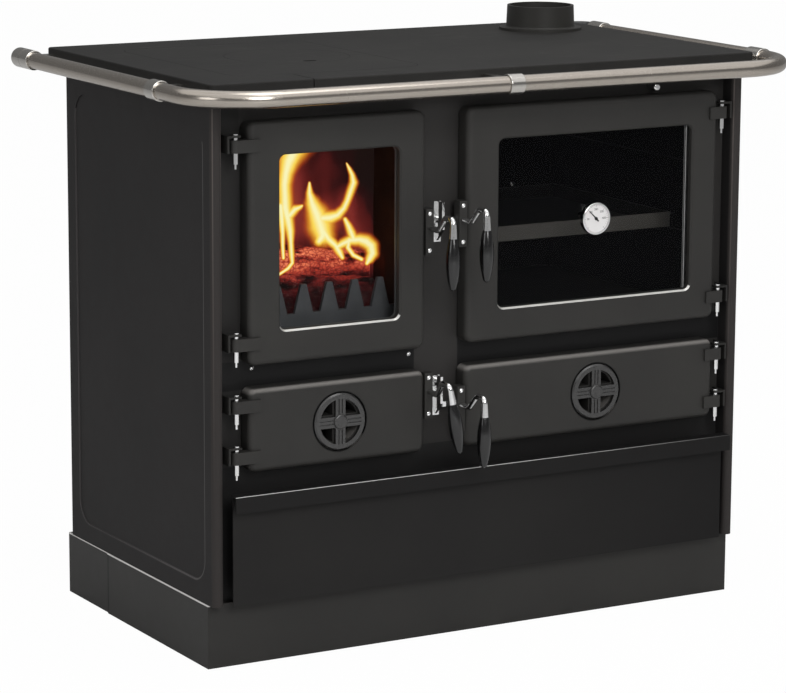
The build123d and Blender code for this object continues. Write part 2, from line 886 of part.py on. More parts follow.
# ---------------------------------------------------------------------------------------------------
# Damper slide
# ---------------------------------------------------------------------------------------------------
with BuildPart() as damper_knob:
    with BuildSketch(facing(plate_face - slide_gap)):
        with Locations((damper_x, damper_height)):
            Circle(damper_knob_radius)
    extrude(amount=damper_knob_length)
    fillet(damper_knob.edges().sort_by(Axis.Y)[0], damper_knob_radius / 2)
    with BuildSketch(facing(plate_face - slide_gap)):
        with Locations((damper_x, damper_height)):
            Circle(damper_rod_radius)
    extrude(amount=damper_knob_length / 2, mode=Mode.SUBTRACT)
save(damper_knob.part, "damper_knob")

with BuildPart() as damper_rod:
    with BuildSketch(facing(damper_rod_back)):
        with Locations((damper_x, damper_height)):
            Circle(damper_rod_radius)
    extrude(amount=damper_rod_back - plate_face + slide_gap + damper_knob_length / 2)
    block(
        damper_x - damper_plate_width / 2, damper_x + damper_plate_width / 2,
        damper_rod_back - damper_rod_radius, damper_rod_back + damper_plate_length,
        damper_height - wall / 2, damper_height + wall / 2,
    )
save(damper_rod.part, "damper_rod")

# ---------------------------------------------------------------------------------------------------
# Hinges
# ---------------------------------------------------------------------------------------------------
with BuildPart() as hinge_brackets:
    for door in doors:
        for bottom in door.leaf_bottoms:
            flange_bottom = bottom + leaf_height + hinge_head_gap
            flange_top = flange_bottom + hinge_flange
            side_outer = door.side * door.pin_x + hinge_side_outset + hinge_flange
            side_block(
                door.side, side_outer - hinge_flange, side_outer,
                pin_y - hinge_flange_half, plate_face, bottom, flange_top,
            )
            side_block(
                door.side, door.side * door.pin_x - hinge_flange_half, side_outer,
                pin_y - hinge_flange_half, pin_y + hinge_flange_half, flange_bottom, flange_top,
            )
            with BuildSketch(Plane.XY.offset(flange_bottom)):
                with Locations((door.pin_x, pin_y)):
                    Circle(pin_spigot_radius + running_fit)
            extrude(amount=hinge_flange, mode=Mode.SUBTRACT)
save(hinge_brackets.part, "hinge_brackets")

with BuildPart() as hinge_pins:
    for door in doors:
        for bottom in door.leaf_bottoms:
            shaft_bottom = bottom - pin_drop
            shaft_top = bottom + leaf_height + hinge_head_gap
            head_bottom = shaft_top + hinge_flange
            steps = (
                (pin_tip_radius, shaft_bottom - pin_tip_length, shaft_bottom),
                (pin_radius, shaft_bottom, shaft_top),
                (pin_spigot_radius, shaft_top, head_bottom),
                (pin_head_radius, head_bottom, head_bottom + pin_head_height),
            )
            for radius, low, high in steps:
                with BuildSketch(Plane.XY.offset(low)):
                    with Locations((door.pin_x, pin_y)):
                        Circle(radius)
                extrude(amount=high - low)
save(hinge_pins.part, "hinge_pins")


def hinge_leaves(door):
    """Two cast lugs on the door's face, each with a knuckle that turns on its pin."""
    with BuildPart() as leaves:
        for bottom in door.leaf_bottoms:
            with BuildSketch(Plane.XY.offset(bottom)):
                with Locations((door.pin_x, pin_y)):
                    Circle(knuckle_radius)
                lug_front = pin_y - knuckle_radius
                lugs = ((leaf_lap, door_face), (0, pin_y + knuckle_radius))
                for lap, lug_back in lugs:
                    low, high = sorted((door.pin_x, door.hinge_edge - door.side * lap))
                    between(low, high, lug_front, lug_back)
                with Locations((door.pin_x, pin_y)):
                    Circle(pin_radius + running_fit, mode=Mode.SUBTRACT)
            extrude(amount=leaf_height)
    return leaves.part


# ---------------------------------------------------------------------------------------------------
# Latches
# ---------------------------------------------------------------------------------------------------
with BuildPart() as latch_keepers:
    for left_door, right_door in ((fire, oven), (ash, lower)):
        middle_x = (left_door.pivot_x + right_door.pivot_x) / 2
        middle_z = (left_door.pivot_height + right_door.pivot_height) / 2
        low = middle_z - keeper_half_height
        high = middle_z + keeper_half_height
        block(
            middle_x - keeper_width / 2, middle_x + keeper_width / 2,
            plate_face - keeper_base, plate_face, low, high,
        )
        fin_front = plate_face - keeper_base - keeper_depth
        with BuildSketch(Plane.YZ.offset(middle_x - keeper_fin / 2)):
            with BuildLine():
                Polyline(
                    (plate_face, low), (fin_front, middle_z - keeper_nose),
                    (fin_front, high), (plate_face, high), close=True,
                )
            make_face()
        extrude(amount=keeper_fin)
save(latch_keepers.part, "latch_keepers")


def latch_bracket(door):
    """Block on the free edge of a door, with the bore that the lever's shaft turns in."""
    with BuildPart() as bracket:
        low, high = sorted((door.free_edge, door.free_edge - door.side * latch_width))
        with BuildSketch(facing(door_face + latch_depth)):
            between(
                low, high, door.pivot_height - latch_below_pivot, door.pivot_height + latch_above_pivot
            )
            with Locations((door.pivot_x, door.pivot_height)):
                Circle(lever_radius + running_fit, mode=Mode.SUBTRACT)
        extrude(amount=latch_depth)
    return bracket.part


def lever_plane(door):
    """Plane through the lever's pivot, with its first axis to the back and its second up the lever."""
    tilt = radians(door.lever_tilt)
    return Plane(
        origin=(door.pivot_x, 0, door.pivot_height), x_dir=(0, 1, 0), z_dir=(cos(tilt), 0, sin(tilt))
    )


def latch_lever(door, keeper_x):
    """Gooseneck rod with a ferrule at its lower end and a flat tongue behind the bracket."""
    plane = lever_plane(door)
    shaft_back = door_face + latch_depth + tongue_gap + tongue_thickness
    bend_start = door_face - lever_straight
    crest_start = bend_start - lever_rise
    with BuildPart() as lever:
        with BuildLine(plane) as neck:
            FilletPolyline(
                (shaft_back, 0), (bend_start, 0), (crest_start, lever_rise),
                (lever_tip_y, lever_rise), (lever_tip_y, -grip_drop),
                radius=lever_bend,
            )
        with BuildSketch(Plane(neck.line @ 0, z_dir=neck.line % 0)):
            Circle(lever_radius)
        sweep(path=neck.line)
        foot = Plane(plane.from_local_coords((lever_tip_y, -grip_drop, 0)), z_dir=plane.y_dir)
        with BuildSketch(foot):
            Circle(ferrule_radius)
        extrude(amount=ferrule_length, taper=ferrule_taper)
        reach = abs(keeper_x - door.pivot_x) - keeper_fin / 2 - keeper_gap
        low, high = sorted((door.pivot_x, door.pivot_x - door.side * reach))
        block(
            low, high, shaft_back - tongue_thickness, shaft_back,
            door.pivot_height - tongue_height / 2, door.pivot_height + tongue_height / 2,
        )
    return lever.part


def latch_grip(door):
    """Turned grip that hangs from the lever."""
    plane = lever_plane(door)
    top = -grip_drop
    bottom = top - grip_length
    with BuildPart() as grip:
        with BuildSketch(plane):
            with BuildLine():
                Line((lever_tip_y, top), (lever_tip_y + grip_neck_radius, top))
                Spline(
                    (lever_tip_y + grip_neck_radius, top),
                    (lever_tip_y + grip_belly_radius, top - grip_belly_drop),
                    (lever_tip_y + grip_tip_radius, bottom + grip_tip_radius / 2),
                )
                Line(
                    (lever_tip_y + grip_tip_radius, bottom + grip_tip_radius / 2),
                    (lever_tip_y + grip_tip_radius / 2, bottom),
                )
                Line((lever_tip_y + grip_tip_radius / 2, bottom), (lever_tip_y, bottom))
                Line((lever_tip_y, bottom), (lever_tip_y, top))
            make_face()
        revolve(axis=Axis(plane.from_local_coords((lever_tip_y, 0, 0)), plane.y_dir))
    return grip.part


# ---------------------------------------------------------------------------------------------------
# Doors
# ---------------------------------------------------------------------------------------------------
def door_leaf(door):
    """Plain cast door with rounded corners and pillowed front edges."""
    with BuildPart() as leaf:
        with BuildSketch(facing(door_back)):
            between(door.left, door.right, door.bottom, door.top, door_corner)
        extrude(amount=door_thickness)
        fillet(leaf.faces().sort_by(Axis.Y)[0].edges(), door_pillow)
    return leaf.part


def window_of(door, hinge_margin, latch_margin):
    """Limits of the window in an upper door."""
    left, right = sorted(
        (door.hinge_edge - door.side * hinge_margin, door.free_edge + door.side * latch_margin)
    )
    return left, right, door.bottom + window_bottom_margin, door.top - window_top_margin


def widened(limits, margin):
    """Limits of a rectangle that is larger by a margin all round."""
    left, right, bottom, top = limits
    return left - margin, right + margin, bottom - margin, top + margin


def seal_limits(door, inset):
    """Limits of a rectangle that lies inside the door's outline by the inset."""
    return widened((door.left, door.right, door.bottom, door.top), -inset)


def glazed_leaf(door, window):
    """Cast door with a bevelled window, a rebate behind it for the glass and a groove for the seal."""
    with BuildPart() as leaf:
        add(door_leaf(door))
        with BuildSketch(facing(door_back)):
            between(*window, window_corner)
        extrude(amount=door_thickness, mode=Mode.SUBTRACT)
        front_rim = leaf.faces().sort_by(Axis.Y)[0].inner_wires().edges()
        chamfer(front_rim, window_bevel)
        with BuildSketch(facing(door_back)):
            between(*widened(window, glass_lap + glass_play), window_corner + glass_play)
        extrude(amount=door_back - glass_front, mode=Mode.SUBTRACT)
        with BuildSketch(facing(door_back)):
            between(*seal_limits(door, seal_inset), door_corner)
            between(*seal_limits(door, seal_inset + seal_width), door_corner / 2, mode=Mode.SUBTRACT)
        extrude(amount=seal_groove, mode=Mode.SUBTRACT)
    return leaf.part


def door_glass(window):
    """Pane that lies against the rebate behind the window."""
    with BuildPart() as pane:
        with BuildSketch(facing(glass_back)):
            between(*widened(window, glass_lap), window_corner)
        extrude(amount=glass_thickness)
    return pane.part


def glass_retainer(window):
    """Frame that holds the pane from behind."""
    with BuildPart() as frame:
        with BuildSketch(facing(glass_back + retainer_thickness)):
            between(*widened(window, glass_lap), window_corner)
            between(*window, window_corner, mode=Mode.SUBTRACT)
        extrude(amount=retainer_thickness)
    return frame.part


def rope_seal(door):
    """Rope in the groove of a door, just clear of the front plate."""
    with BuildPart() as rope:
        with BuildSketch(facing(plate_face - slide_gap)):
            between(*seal_limits(door, seal_inset), door_corner)
            between(*seal_limits(door, seal_inset + seal_width), door_corner / 2, mode=Mode.SUBTRACT)
        extrude(amount=door_gap + seal_groove - slide_gap)
    return rope.part


def air_ports(inset=0.0):
    """Four quarter openings between the hub, the rim and the spokes of an air wheel."""
    with BuildSketch(mode=Mode.PRIVATE) as ports:
        Circle(wheel_radius - wheel_rim - inset)
        Circle(wheel_hub_radius + inset, mode=Mode.SUBTRACT)
        spoke = wheel_spoke_width + 2 * inset
        for length, width in ((2 * wheel_radius, spoke), (spoke, 2 * wheel_radius)):
            Rectangle(length, width, mode=Mode.SUBTRACT)
    return ports.sketch


def vented_leaf(door, wheel_x):
    """Cast door with a round recess, air ports and a stub for the air wheel."""
    with BuildPart() as leaf:
        add(door_leaf(door))
        with BuildSketch(facing(wheel_floor)):
            with Locations((wheel_x, wheel_height)):
                Circle(wheel_recess_radius)
        extrude(amount=wheel_recess_depth, mode=Mode.SUBTRACT)
        with BuildSketch(facing(door_back)):
            with Locations((wheel_x, wheel_height)):
                add(air_ports(air_port_inset))
        extrude(amount=door_thickness, mode=Mode.SUBTRACT)
        with BuildSketch(facing(wheel_floor)):
            with Locations((wheel_x, wheel_height)):
                Circle(wheel_stub_radius)
        extrude(amount=wheel_stub_length)
    return leaf.part


def air_wheel(wheel_x):
    """Spoked wheel with a bevelled rim, ribbed spokes and a domed hub over the door's stub."""
    wheel_back = wheel_floor - slide_gap
    wheel_front = wheel_back - wheel_thickness
    with BuildPart() as wheel:
        with BuildSketch(facing(wheel_back)):
            with Locations((wheel_x, wheel_height)):
                Circle(wheel_radius)
        extrude(amount=wheel_thickness)
        chamfer(wheel.edges().sort_by(Axis.Y)[0], wheel_thickness / 3)
        with BuildSketch(facing(wheel_back)):
            with Locations((wheel_x, wheel_height)):
                add(air_ports())
        extrude(amount=wheel_thickness, mode=Mode.SUBTRACT)
        spoke_middle = (wheel_radius - wheel_rim + wheel_hub_radius) / 2
        spoke_length = wheel_radius - wheel_rim - wheel_hub_radius
        with BuildSketch(facing(wheel_front)):
            with Locations((wheel_x, wheel_height)):
                with PolarLocations(spoke_middle, 4):
                    with GridLocations(1, wheel_spoke_width / 3, 1, 2):
                        Rectangle(spoke_length, wheel_groove)
        extrude(amount=-wheel_groove, mode=Mode.SUBTRACT)
        with BuildSketch(facing(wheel_front)):
            with Locations((wheel_x, wheel_height)):
                Circle(wheel_hub_radius - wheel_hub_step)
        extrude(amount=wheel_hub_rise)
        fillet(wheel.edges().sort_by(Axis.Y)[0], wheel_hub_round)
        with BuildSketch(facing(wheel_back)):
            with Locations((wheel_x, wheel_height)):
                Circle(wheel_stub_radius + running_fit)
        extrude(amount=wheel_stub_length, mode=Mode.SUBTRACT)
    return wheel.part


fire_window = window_of(fire, fire_window_hinge_margin, fire_window_latch_margin)
oven_window = window_of(oven, oven_window_hinge_margin, oven_window_latch_margin)
for door, window in ((fire, fire_window), (oven, oven_window)):
    save(glazed_leaf(door, window), f"{door.name}_door")
    save(glass_retainer(window), f"{door.name}_glass_frame")
    save(rope_seal(door), f"{door.name}_seal")
save(door_glass(fire_window), "fire_glass")

for door, wheel_inset in ((ash, ash_wheel_inset), (lower, lower_wheel_inset)):
    wheel_x = door.left + wheel_inset
    save(vented_leaf(door, wheel_x), f"{door.name}_door")
    save(air_wheel(wheel_x), f"{door.name}_wheel")

for left_door, right_door in ((fire, oven), (ash, lower)):
    keeper_x = (left_door.pivot_x + right_door.pivot_x) / 2
    for door in (left_door, right_door):
        save(hinge_leaves(door), f"{door.name}_hinge_leaves")
        save(latch_bracket(door), f"{door.name}_latch_bracket")
        save(latch_lever(door, keeper_x), f"{door.name}_lever")
        save(latch_grip(door), f"{door.name}_grip")

# ---------------------------------------------------------------------------------------------------
# Oven thermometer
# ---------------------------------------------------------------------------------------------------
gauge_x = oven.left + gauge_inset
gauge_height = oven.bottom + gauge_rise
gauge_face = glass_front - gauge_depth
dial_back = gauge_face + gauge_dish
dial_face = dial_back - dial_thickness
needle_back = dial_face - slide_gap

with BuildPart() as oven_glass:
    add(door_glass(oven_window))
    with BuildSketch(facing(glass_back)):
        with Locations((gauge_x, gauge_height)):
            Circle(stem_radius + slide_gap)
    extrude(amount=glass_thickness, mode=Mode.SUBTRACT)
save(oven_glass.part, "oven_glass")

with BuildPart() as thermometer_case:
    with BuildSketch(facing(glass_front)):
        with Locations((gauge_x, gauge_height)):
            Circle(gauge_radius)
    extrude(amount=gauge_depth)
    fillet(thermometer_case.edges().sort_by(Axis.Y)[0], gauge_bezel / 2)
    with BuildSketch(facing(dial_back)):
        with Locations((gauge_x, gauge_height)):
            Circle(gauge_radius - gauge_bezel)
    extrude(amount=gauge_dish, mode=Mode.SUBTRACT)
    with BuildSketch(facing(glass_back + stem_length)):
        with Locations((gauge_x, gauge_height)):
            Circle(stem_radius)
    extrude(amount=stem_length + glass_thickness)
    with BuildSketch(facing(glass_back + nut_thickness)):
        with Locations((gauge_x, gauge_height)):
            RegularPolygon(nut_radius, 6)
    extrude(amount=nut_thickness)
save(thermometer_case.part, "thermometer_case")

with BuildPart() as thermometer_dial:
    with BuildSketch(facing(dial_back)):
        with Locations((gauge_x, gauge_height)):
            Circle(gauge_radius - gauge_bezel - running_fit)
            Circle(needle_pin_radius + running_fit, mode=Mode.SUBTRACT)
    extrude(amount=dial_thickness)
save(thermometer_dial.part, "thermometer_dial")

with BuildPart() as thermometer_needle:
    lean = radians(needle_angle)
    needle_plane = Plane(
        origin=(gauge_x, needle_back, gauge_height), x_dir=(cos(lean), 0, sin(lean)), z_dir=(0, -1, 0)
    )
    with BuildSketch(needle_plane):
        Circle(needle_hub_radius)
        with BuildLine():
            Polyline(
                (-needle_width / 2, -needle_tail), (needle_width / 2, -needle_tail),
                (needle_width / 6, needle_length), (-needle_width / 6, needle_length), close=True,
            )
        make_face()
    extrude(amount=needle_thickness)
    with BuildSketch(facing(dial_back - slide_gap)):
        with Locations((gauge_x, gauge_height)):
            Circle(needle_pin_radius)
    extrude(amount=dial_thickness)
save(thermometer_needle.part, "thermometer_needle")
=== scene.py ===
# %% [markdown]
# A wood cookstove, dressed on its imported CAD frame. The stove is a box of painted sheet steel with cast
# doors, a cast hob, a steel handrail and a burning fire behind glass. The CAD already has every solid
# piece in its place, so the work here is finishes, small hardware, the fire, the light and the camera.

import bpy
import numpy as np
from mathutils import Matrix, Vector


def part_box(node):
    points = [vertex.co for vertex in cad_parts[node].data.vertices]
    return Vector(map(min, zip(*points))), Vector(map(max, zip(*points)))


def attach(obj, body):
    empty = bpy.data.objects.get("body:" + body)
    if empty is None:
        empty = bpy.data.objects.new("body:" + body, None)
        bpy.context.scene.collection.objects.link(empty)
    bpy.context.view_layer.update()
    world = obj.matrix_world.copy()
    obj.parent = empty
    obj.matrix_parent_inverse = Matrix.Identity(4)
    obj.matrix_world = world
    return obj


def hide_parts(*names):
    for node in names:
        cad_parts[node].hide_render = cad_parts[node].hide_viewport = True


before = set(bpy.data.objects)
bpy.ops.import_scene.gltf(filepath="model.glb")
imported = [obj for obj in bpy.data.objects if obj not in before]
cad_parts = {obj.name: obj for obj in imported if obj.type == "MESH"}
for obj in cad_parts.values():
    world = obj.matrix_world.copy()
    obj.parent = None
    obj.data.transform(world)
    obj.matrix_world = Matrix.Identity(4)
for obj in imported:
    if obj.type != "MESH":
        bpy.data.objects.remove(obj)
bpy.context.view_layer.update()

# %% [markdown]
# The photograph was taken from the left of the stove, a little above it, with a long lens.
# A camera could be turned by hand until the edges agree. Here it was fitted to points whose place on the
# stove is known, which gives a yaw, a pitch and a small roll, and the numbers are written down.

# %% Place the camera
def into_scene(name, data):
    """New object of some data, linked into the scene."""
    made = bpy.data.objects.new(name, data)
    bpy.context.scene.collection.objects.link(made)
    return made


def photo_camera(place, yaw, pitch, roll, lens):
    """Camera at a place, turned right by yaw, down by pitch and round its own axis by roll, in degrees.

    The three columns of its matrix are the picture's right, the picture's up and the way back.
    """
    yaw, pitch, roll = np.radians((yaw, pitch, roll))
    ahead = np.array((np.sin(yaw) * np.cos(pitch), np.cos(yaw) * np.cos(pitch), -np.sin(pitch)))
    level = np.array((np.cos(yaw), -np.sin(yaw), 0.0))
    above = np.cross(level, ahead)
    right = np.cos(roll) * level + np.sin(roll) * above
    up = np.cos(roll) * above - np.sin(roll) * level
    matrix = np.eye(4)
    matrix[:3, :4] = np.column_stack((right, up, -ahead, place))
    camera = into_scene("camera", bpy.data.cameras.new("camera"))
    camera.data.lens = lens
    camera.data.sensor_width = 36.0
    camera.data.clip_end = 200.0
    camera.matrix_world = matrix.T.tolist()
    return camera


photo_yaw = 29.793
bpy.context.scene.camera = photo_camera(
    place=(-2.5499, -4.3961, 1.4028), yaw=photo_yaw, pitch=11.199, roll=0.277, lens=154.49
)
bpy.context.scene.view_settings.view_transform = "Standard"
print("camera at", list(bpy.context.scene.camera.matrix_world.translation))

# %% [markdown]
# Finishes are shader trees. Adding nodes one by one hides what a finish means, so a small class wraps a
# socket and lets Python's own signs add the Math nodes. A second class adds every other node from its
# type, its settings and its inputs, and a third is a material. Then a finish reads like a formula.

# %% A signal that can be added, multiplied and compared
class Signal:
    """One output socket of a tree. Arithmetic on it adds Math nodes."""

    def __init__(self, owner, socket):
        self.owner = owner
        self.socket = socket

    def math(self, operation, first, second=0.0, clamp=False):
        settings = {"operation": operation, "use_clamp": clamp}
        return self.owner.node("ShaderNodeMath", settings, {0: first, 1: second})

    def __add__(self, other):
        return self.math("ADD", self, other)

    def __mul__(self, other):
        return self.math("MULTIPLY", self, other)

    __radd__, __rmul__ = __add__, __mul__

    def __sub__(self, other):
        return self.math("SUBTRACT", self, other)

    def __rsub__(self, other):
        return self.math("SUBTRACT", other, self)

    def __pow__(self, other):
        return self.math("POWER", self, other)

    def __gt__(self, other):
        return self.math("GREATER_THAN", self, other)

    def __lt__(self, other):
        return self.math("LESS_THAN", self, other)

    def held(self):
        """The signal held between 0 and 1."""
        return self.math("ADD", self, 0.0, clamp=True)

    def size(self):
        """The signal without its sign."""
        return self.math("ABSOLUTE", self)

    def above(self, floor=0.0):
        """The signal, or the floor where it is lower."""
        return self.math("MAXIMUM", self, floor)

    def within(self, low, high):
        """1 where the signal lies between two values, else 0."""
        return (self > low) * (self < high)

    def near(self, value, reach):
        """1 where the signal lies less than a reach from a value, else 0."""
        return (self - value).size() < reach


# %% A tree of nodes
class Tree:
    """A node tree, emptied, and the one method that adds any node to it."""

    def __init__(self, tree):
        self.tree = tree
        self.tree.nodes.clear()

    def put(self, socket, value):
        """Links a signal to a socket, or writes a number or colour on it."""
        if isinstance(value, Signal):
            self.tree.links.new(value.socket, socket)
        else:
            socket.default_value = value

    def node(self, kind, settings=None, inputs=None, output=0):
        """Adds a node: its settings first, then a value or a link for each input that is named."""
        made = self.tree.nodes.new(kind)
        for key, value in (settings or {}).items():
            if key == "stops":
                ramp = made.color_ramp
                while len(ramp.elements) < len(value):
                    ramp.elements.new(1.0)
                for element, (place, colour) in zip(ramp.elements, value):
                    element.position = place
                    element.color = colour
            else:
                setattr(made, key, value)
        for key, value in (inputs or {}).items():
            self.put(made.inputs[key], value)
        return Signal(self, made.outputs[output])


# %% A finish in the making
class Finish(Tree):
    """A material with its Principled shader, and the patterns and layers that finishes share."""

    def __init__(self, name, **constants):
        self.material = bpy.data.materials.new(name)
        self.material.use_nodes = True
        super().__init__(self.material.node_tree)
        self.shader = self.tree.nodes.new("ShaderNodeBsdfPrincipled")
        self.surface = self.tree.nodes.new("ShaderNodeOutputMaterial").inputs["Surface"]
        self.put(self.surface, Signal(self, self.shader.outputs["BSDF"]))
        for socket, value in constants.items():
            self.feed(socket.replace("_", " "), value)

    def __str__(self):
        return self.material.name

    def feed(self, socket, value):
        """Feeds one socket of the Principled shader."""
        self.put(self.shader.inputs[socket], value)

    def fed(self, socket):
        """The signal that one socket of the Principled shader is fed so far."""
        return Signal(self, self.shader.inputs[socket].links[0].from_socket)

    def place(self, stretch=(1.0, 1.0, 1.0)):
        """Object coordinates in metres, each axis multiplied by its stretch."""
        where = self.node("ShaderNodeTexCoord", output="Object")
        if stretch == (1.0, 1.0, 1.0):
            return where
        return self.node("ShaderNodeMapping", inputs={"Vector": where, "Scale": stretch})

    def along(self, axis):
        """Object coordinate along one axis, in metres."""
        return self.node("ShaderNodeSeparateXYZ", inputs={0: self.place()}, output=axis)

    def facing(self, axis):
        """How far the surface faces along an axis, from -1 to 1."""
        normal = self.node("ShaderNodeNewGeometry", output="Normal")
        return self.node("ShaderNodeSeparateXYZ", inputs={0: normal}, output=axis)

    def tint(self, share, colour):
        """Lays another colour over the base colour, by a share."""
        self.feed("Base Color", self.mix(share, self.fed("Base Color"), colour))

    def noise(self, scale, detail=2.0, rough=0.5, stretch=(1.0, 1.0, 1.0)):
        """Cloudy values round 0.5 whose lumps are about 1/scale metres wide."""
        inputs = {"Vector": self.place(stretch), "Scale": scale, "Detail": detail, "Roughness": rough}
        return self.node("ShaderNodeTexNoise", inputs=inputs)

    def ramp(self, signal, stops):
        """Colours along a signal."""
        return self.node("ShaderNodeValToRGB", {"stops": stops}, {"Fac": signal})

    def mix(self, share, first, second):
        """First colour where the share is 0, second where it is 1."""
        return self.node("ShaderNodeMix", {"data_type": "RGBA"}, {0: share, 6: first, 7: second}, 2)

    def bump(self, height, distance, strength=1.0):
        """Lets a height raise the surface by up to a distance in metres."""
        inputs = {"Height": height, "Distance": distance, "Strength": strength}
        self.feed("Normal", self.node("ShaderNodeBump", inputs=inputs))


# %% Colours as they look on a screen
def tone(red, green, blue):
    """Linear colour of three screen values from 0 to 255."""
    screen = np.array((red, green, blue)) / 255
    linear = np.where(screen > 0.04045, ((screen + 0.055) / 1.055) ** 2.4, screen / 12.92)
    return (*linear.tolist(), 1.0)


print("mid grey", tone(128, 128, 128))

# %% [markdown]
# Charcoal stove paint covers the body and the doors. It is a matt, heat-proof spray paint: a fine dry
# grain, almost no gloss, and slow cloudy changes of tone. An image of paint would show its edges and
# repeat, so three noises do it: a fine one raises and roughens the grain, a slow one shifts the tone,
# and a middle one is the handling that every painted stove gets.

# %% Charcoal paint
def charcoal(name, dark, light, roughness, gloss):
    """Paint between two tones, with a grain of about half a millimetre."""
    paint = Finish(name, Specular_IOR_Level=gloss)
    cloud = paint.noise(5.0, detail=3.0)
    handled = paint.noise(38.0, detail=4.0, rough=0.6)
    grain = paint.noise(2100.0, detail=1.0)
    shade = (cloud * 0.7 + handled * 0.3 + (grain - 0.5) * 0.25).held()
    paint.feed("Base Color", paint.ramp(shade, [(0.3, dark), (0.7, light)]))
    paint.feed("Roughness", handled * 0.12 + grain * 0.06 + (roughness - 0.09))
    paint.bump(grain, 0.00006, 0.6)
    return paint


door_look = {"dark": tone(42, 41, 40), "light": tone(49, 48, 46), "roughness": 0.5, "gloss": 0.22}
panel_paint = charcoal("panel_paint", tone(35, 34, 33), tone(42, 41, 39), 0.55, 0.2)
door_paint = charcoal("door_paint", **door_look)
print("paints", panel_paint, door_paint)

# %% [markdown]
# The two glazed doors have a bevel round the window. Its bottom edge faces the light and shows as a
# bright line: there the paint is made bare metallic casting, coloured near white as a painted highlight.
# The same paint is used, and a mask picks the faces that look up, in a low band at the foot of the window.

# %% Door paint with a bare sill and a painted highlight on it
def sill_paint(name, sill, bevel):
    """Door paint, bare and painted bright as a highlight on faces that look up, from 6 mm below a sill's
    height to 9 above.

    Only the bevel is bare: what lies deeper in the door than its plane stays painted.
    """
    paint = charcoal(name, **door_look)
    bare_highlight = (paint.facing("Z") > 0.3) * paint.along("Z").within(sill - 0.006, sill + 0.009)
    bare_highlight = bare_highlight * (paint.along("Y") < bevel)
    # Painted highlight: the bare bevel is coloured near white for the light it catches, and is also made
    # metallic and smoother.
    paint.tint(bare_highlight, tone(205, 204, 200))
    paint.feed("Roughness", paint.fed("Roughness") - bare_highlight * 0.15)
    paint.feed("Metallic", bare_highlight * 0.6)
    return paint


sill_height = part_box("fire_glass")[0].z + 0.008
fire_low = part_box("fire_door")[0]
glazed_paint = sill_paint("glazed_door_paint", sill_height, fire_low.y + 0.0032)
print("sill at", round(sill_height, 4))

# %% [markdown]
# Edges of painted steel never look like its flats: the crest of a fold and a casting's rounded top catch
# the light, while a gap between two pieces gathers shade. Each of the next paints is the same charcoal with
# painted highlights and painted shade laid on such places, picked by where they lie or by which way they
# face. Painting them by hand would need an image, so masks do it, measured from the boxes of the CAD nodes.

# %% A line along a pressed field
def middle_of(node):
    """Middle of a CAD node's box."""
    low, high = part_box(node)
    return (low + high) / 2


def pressed_line(paint, node, inset, corner, width):
    """1 on a rounded rectangle in the YZ plane, falling to 0 within a width of it.

    The rectangle is the node's box less an inset. The distance to its outline is that to a smaller
    rectangle, less the corner's radius.
    """
    middle = middle_of(node)
    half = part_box(node)[1] - middle
    past_y = ((paint.along("Y") - middle.y).size() - (half.y - inset - corner)).above()
    past_z = ((paint.along("Z") - middle.z).size() - (half.z - inset - corner)).above()
    reach = (past_y * past_y + past_z * past_z) ** 0.5 - corner
    return (1 - reach.size() * (1 / width)).held()


# %% Side sheets with a painted highlight on the pressed line and the post's crest, and a corner post painted lighter where lit
side_paint = charcoal("side_paint", tone(34, 33, 33), tone(40, 38, 38), 0.6, 0.14)
depth, height = side_paint.along("Y"), side_paint.along("Z")
# The pressed line gets a painted highlight, stronger towards the front, only below the height where the
# rail's shade begins.
rail_shade_from = 0.765
crease_highlight = pressed_line(side_paint, "side_panel_left", inset=0.030, corner=0.035, width=0.0022)
towards_front = ((0.12 - depth) * 4.0).held() * 0.35 + 0.3
side_paint.tint(crease_highlight * towards_front * (height < rail_shade_from), tone(116, 113, 113))
post_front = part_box("side_panel_left")[0].y
post_edge, crest_line = post_front + 0.0085, post_front + 0.0028
# Painted light: the corner post is coloured lighter where it faces the light, and a thin painted highlight
# runs along its crest.
side_paint.tint(depth < post_edge, tone(49, 46, 45))
crest_highlight = (1 - (depth - crest_line).size() * 900.0).held() * (height - 0.25).held()
side_paint.tint(crest_highlight * 0.9, tone(120, 112, 108))
print("corner post from", round(post_front, 4), "to", round(post_edge, 4))

# %% Front plate, with painted shade in the gaps round the doors
plate_paint = charcoal("plate_paint", tone(40, 39, 38), tone(48, 46, 45), 0.55, 0.2)
across, height = plate_paint.along("X"), plate_paint.along("Z")
ash_low, ash_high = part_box("ash_door")
gap = (ash_high.z - 0.0055, fire_low.z + 0.0035)
left_shade_edge, foot_shade_top = fire_low.x - 0.001, ash_low.z + 0.005
column_middle, column_half = -0.071, 0.037
beside_column = (across - column_middle).size() > column_half
# Painted shade: the band between upper and lower doors, the plate left of the fire door and the strip under
# the lower doors are darkened where shadow falls.
plate_paint.tint(height.within(*gap) * beside_column * 0.9, tone(10, 10, 11))
plate_paint.tint((across < left_shade_edge) * 0.45, tone(20, 20, 20))
plate_paint.tint((height < foot_shade_top) * 0.7, tone(14, 14, 15))
print("plate dark between", [round(end, 4) for end in gap])

# %% Drawer, with painted shade on its right half, darker on its lip's face, and a painted highlight on the fold at its lip
drawer_paint = charcoal("drawer_paint", tone(28, 27, 27), tone(34, 33, 32), 0.55, 0.16)
lip_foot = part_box("drawer_front")[1].z - 0.024
lit_fold = drawer_paint.facing("Z").within(0.62, 0.97)
lip = (drawer_paint.along("Z") > lip_foot + 0.0002) * (1 - lit_fold)
right_shade = (drawer_paint.along("X") * 2.4).held()
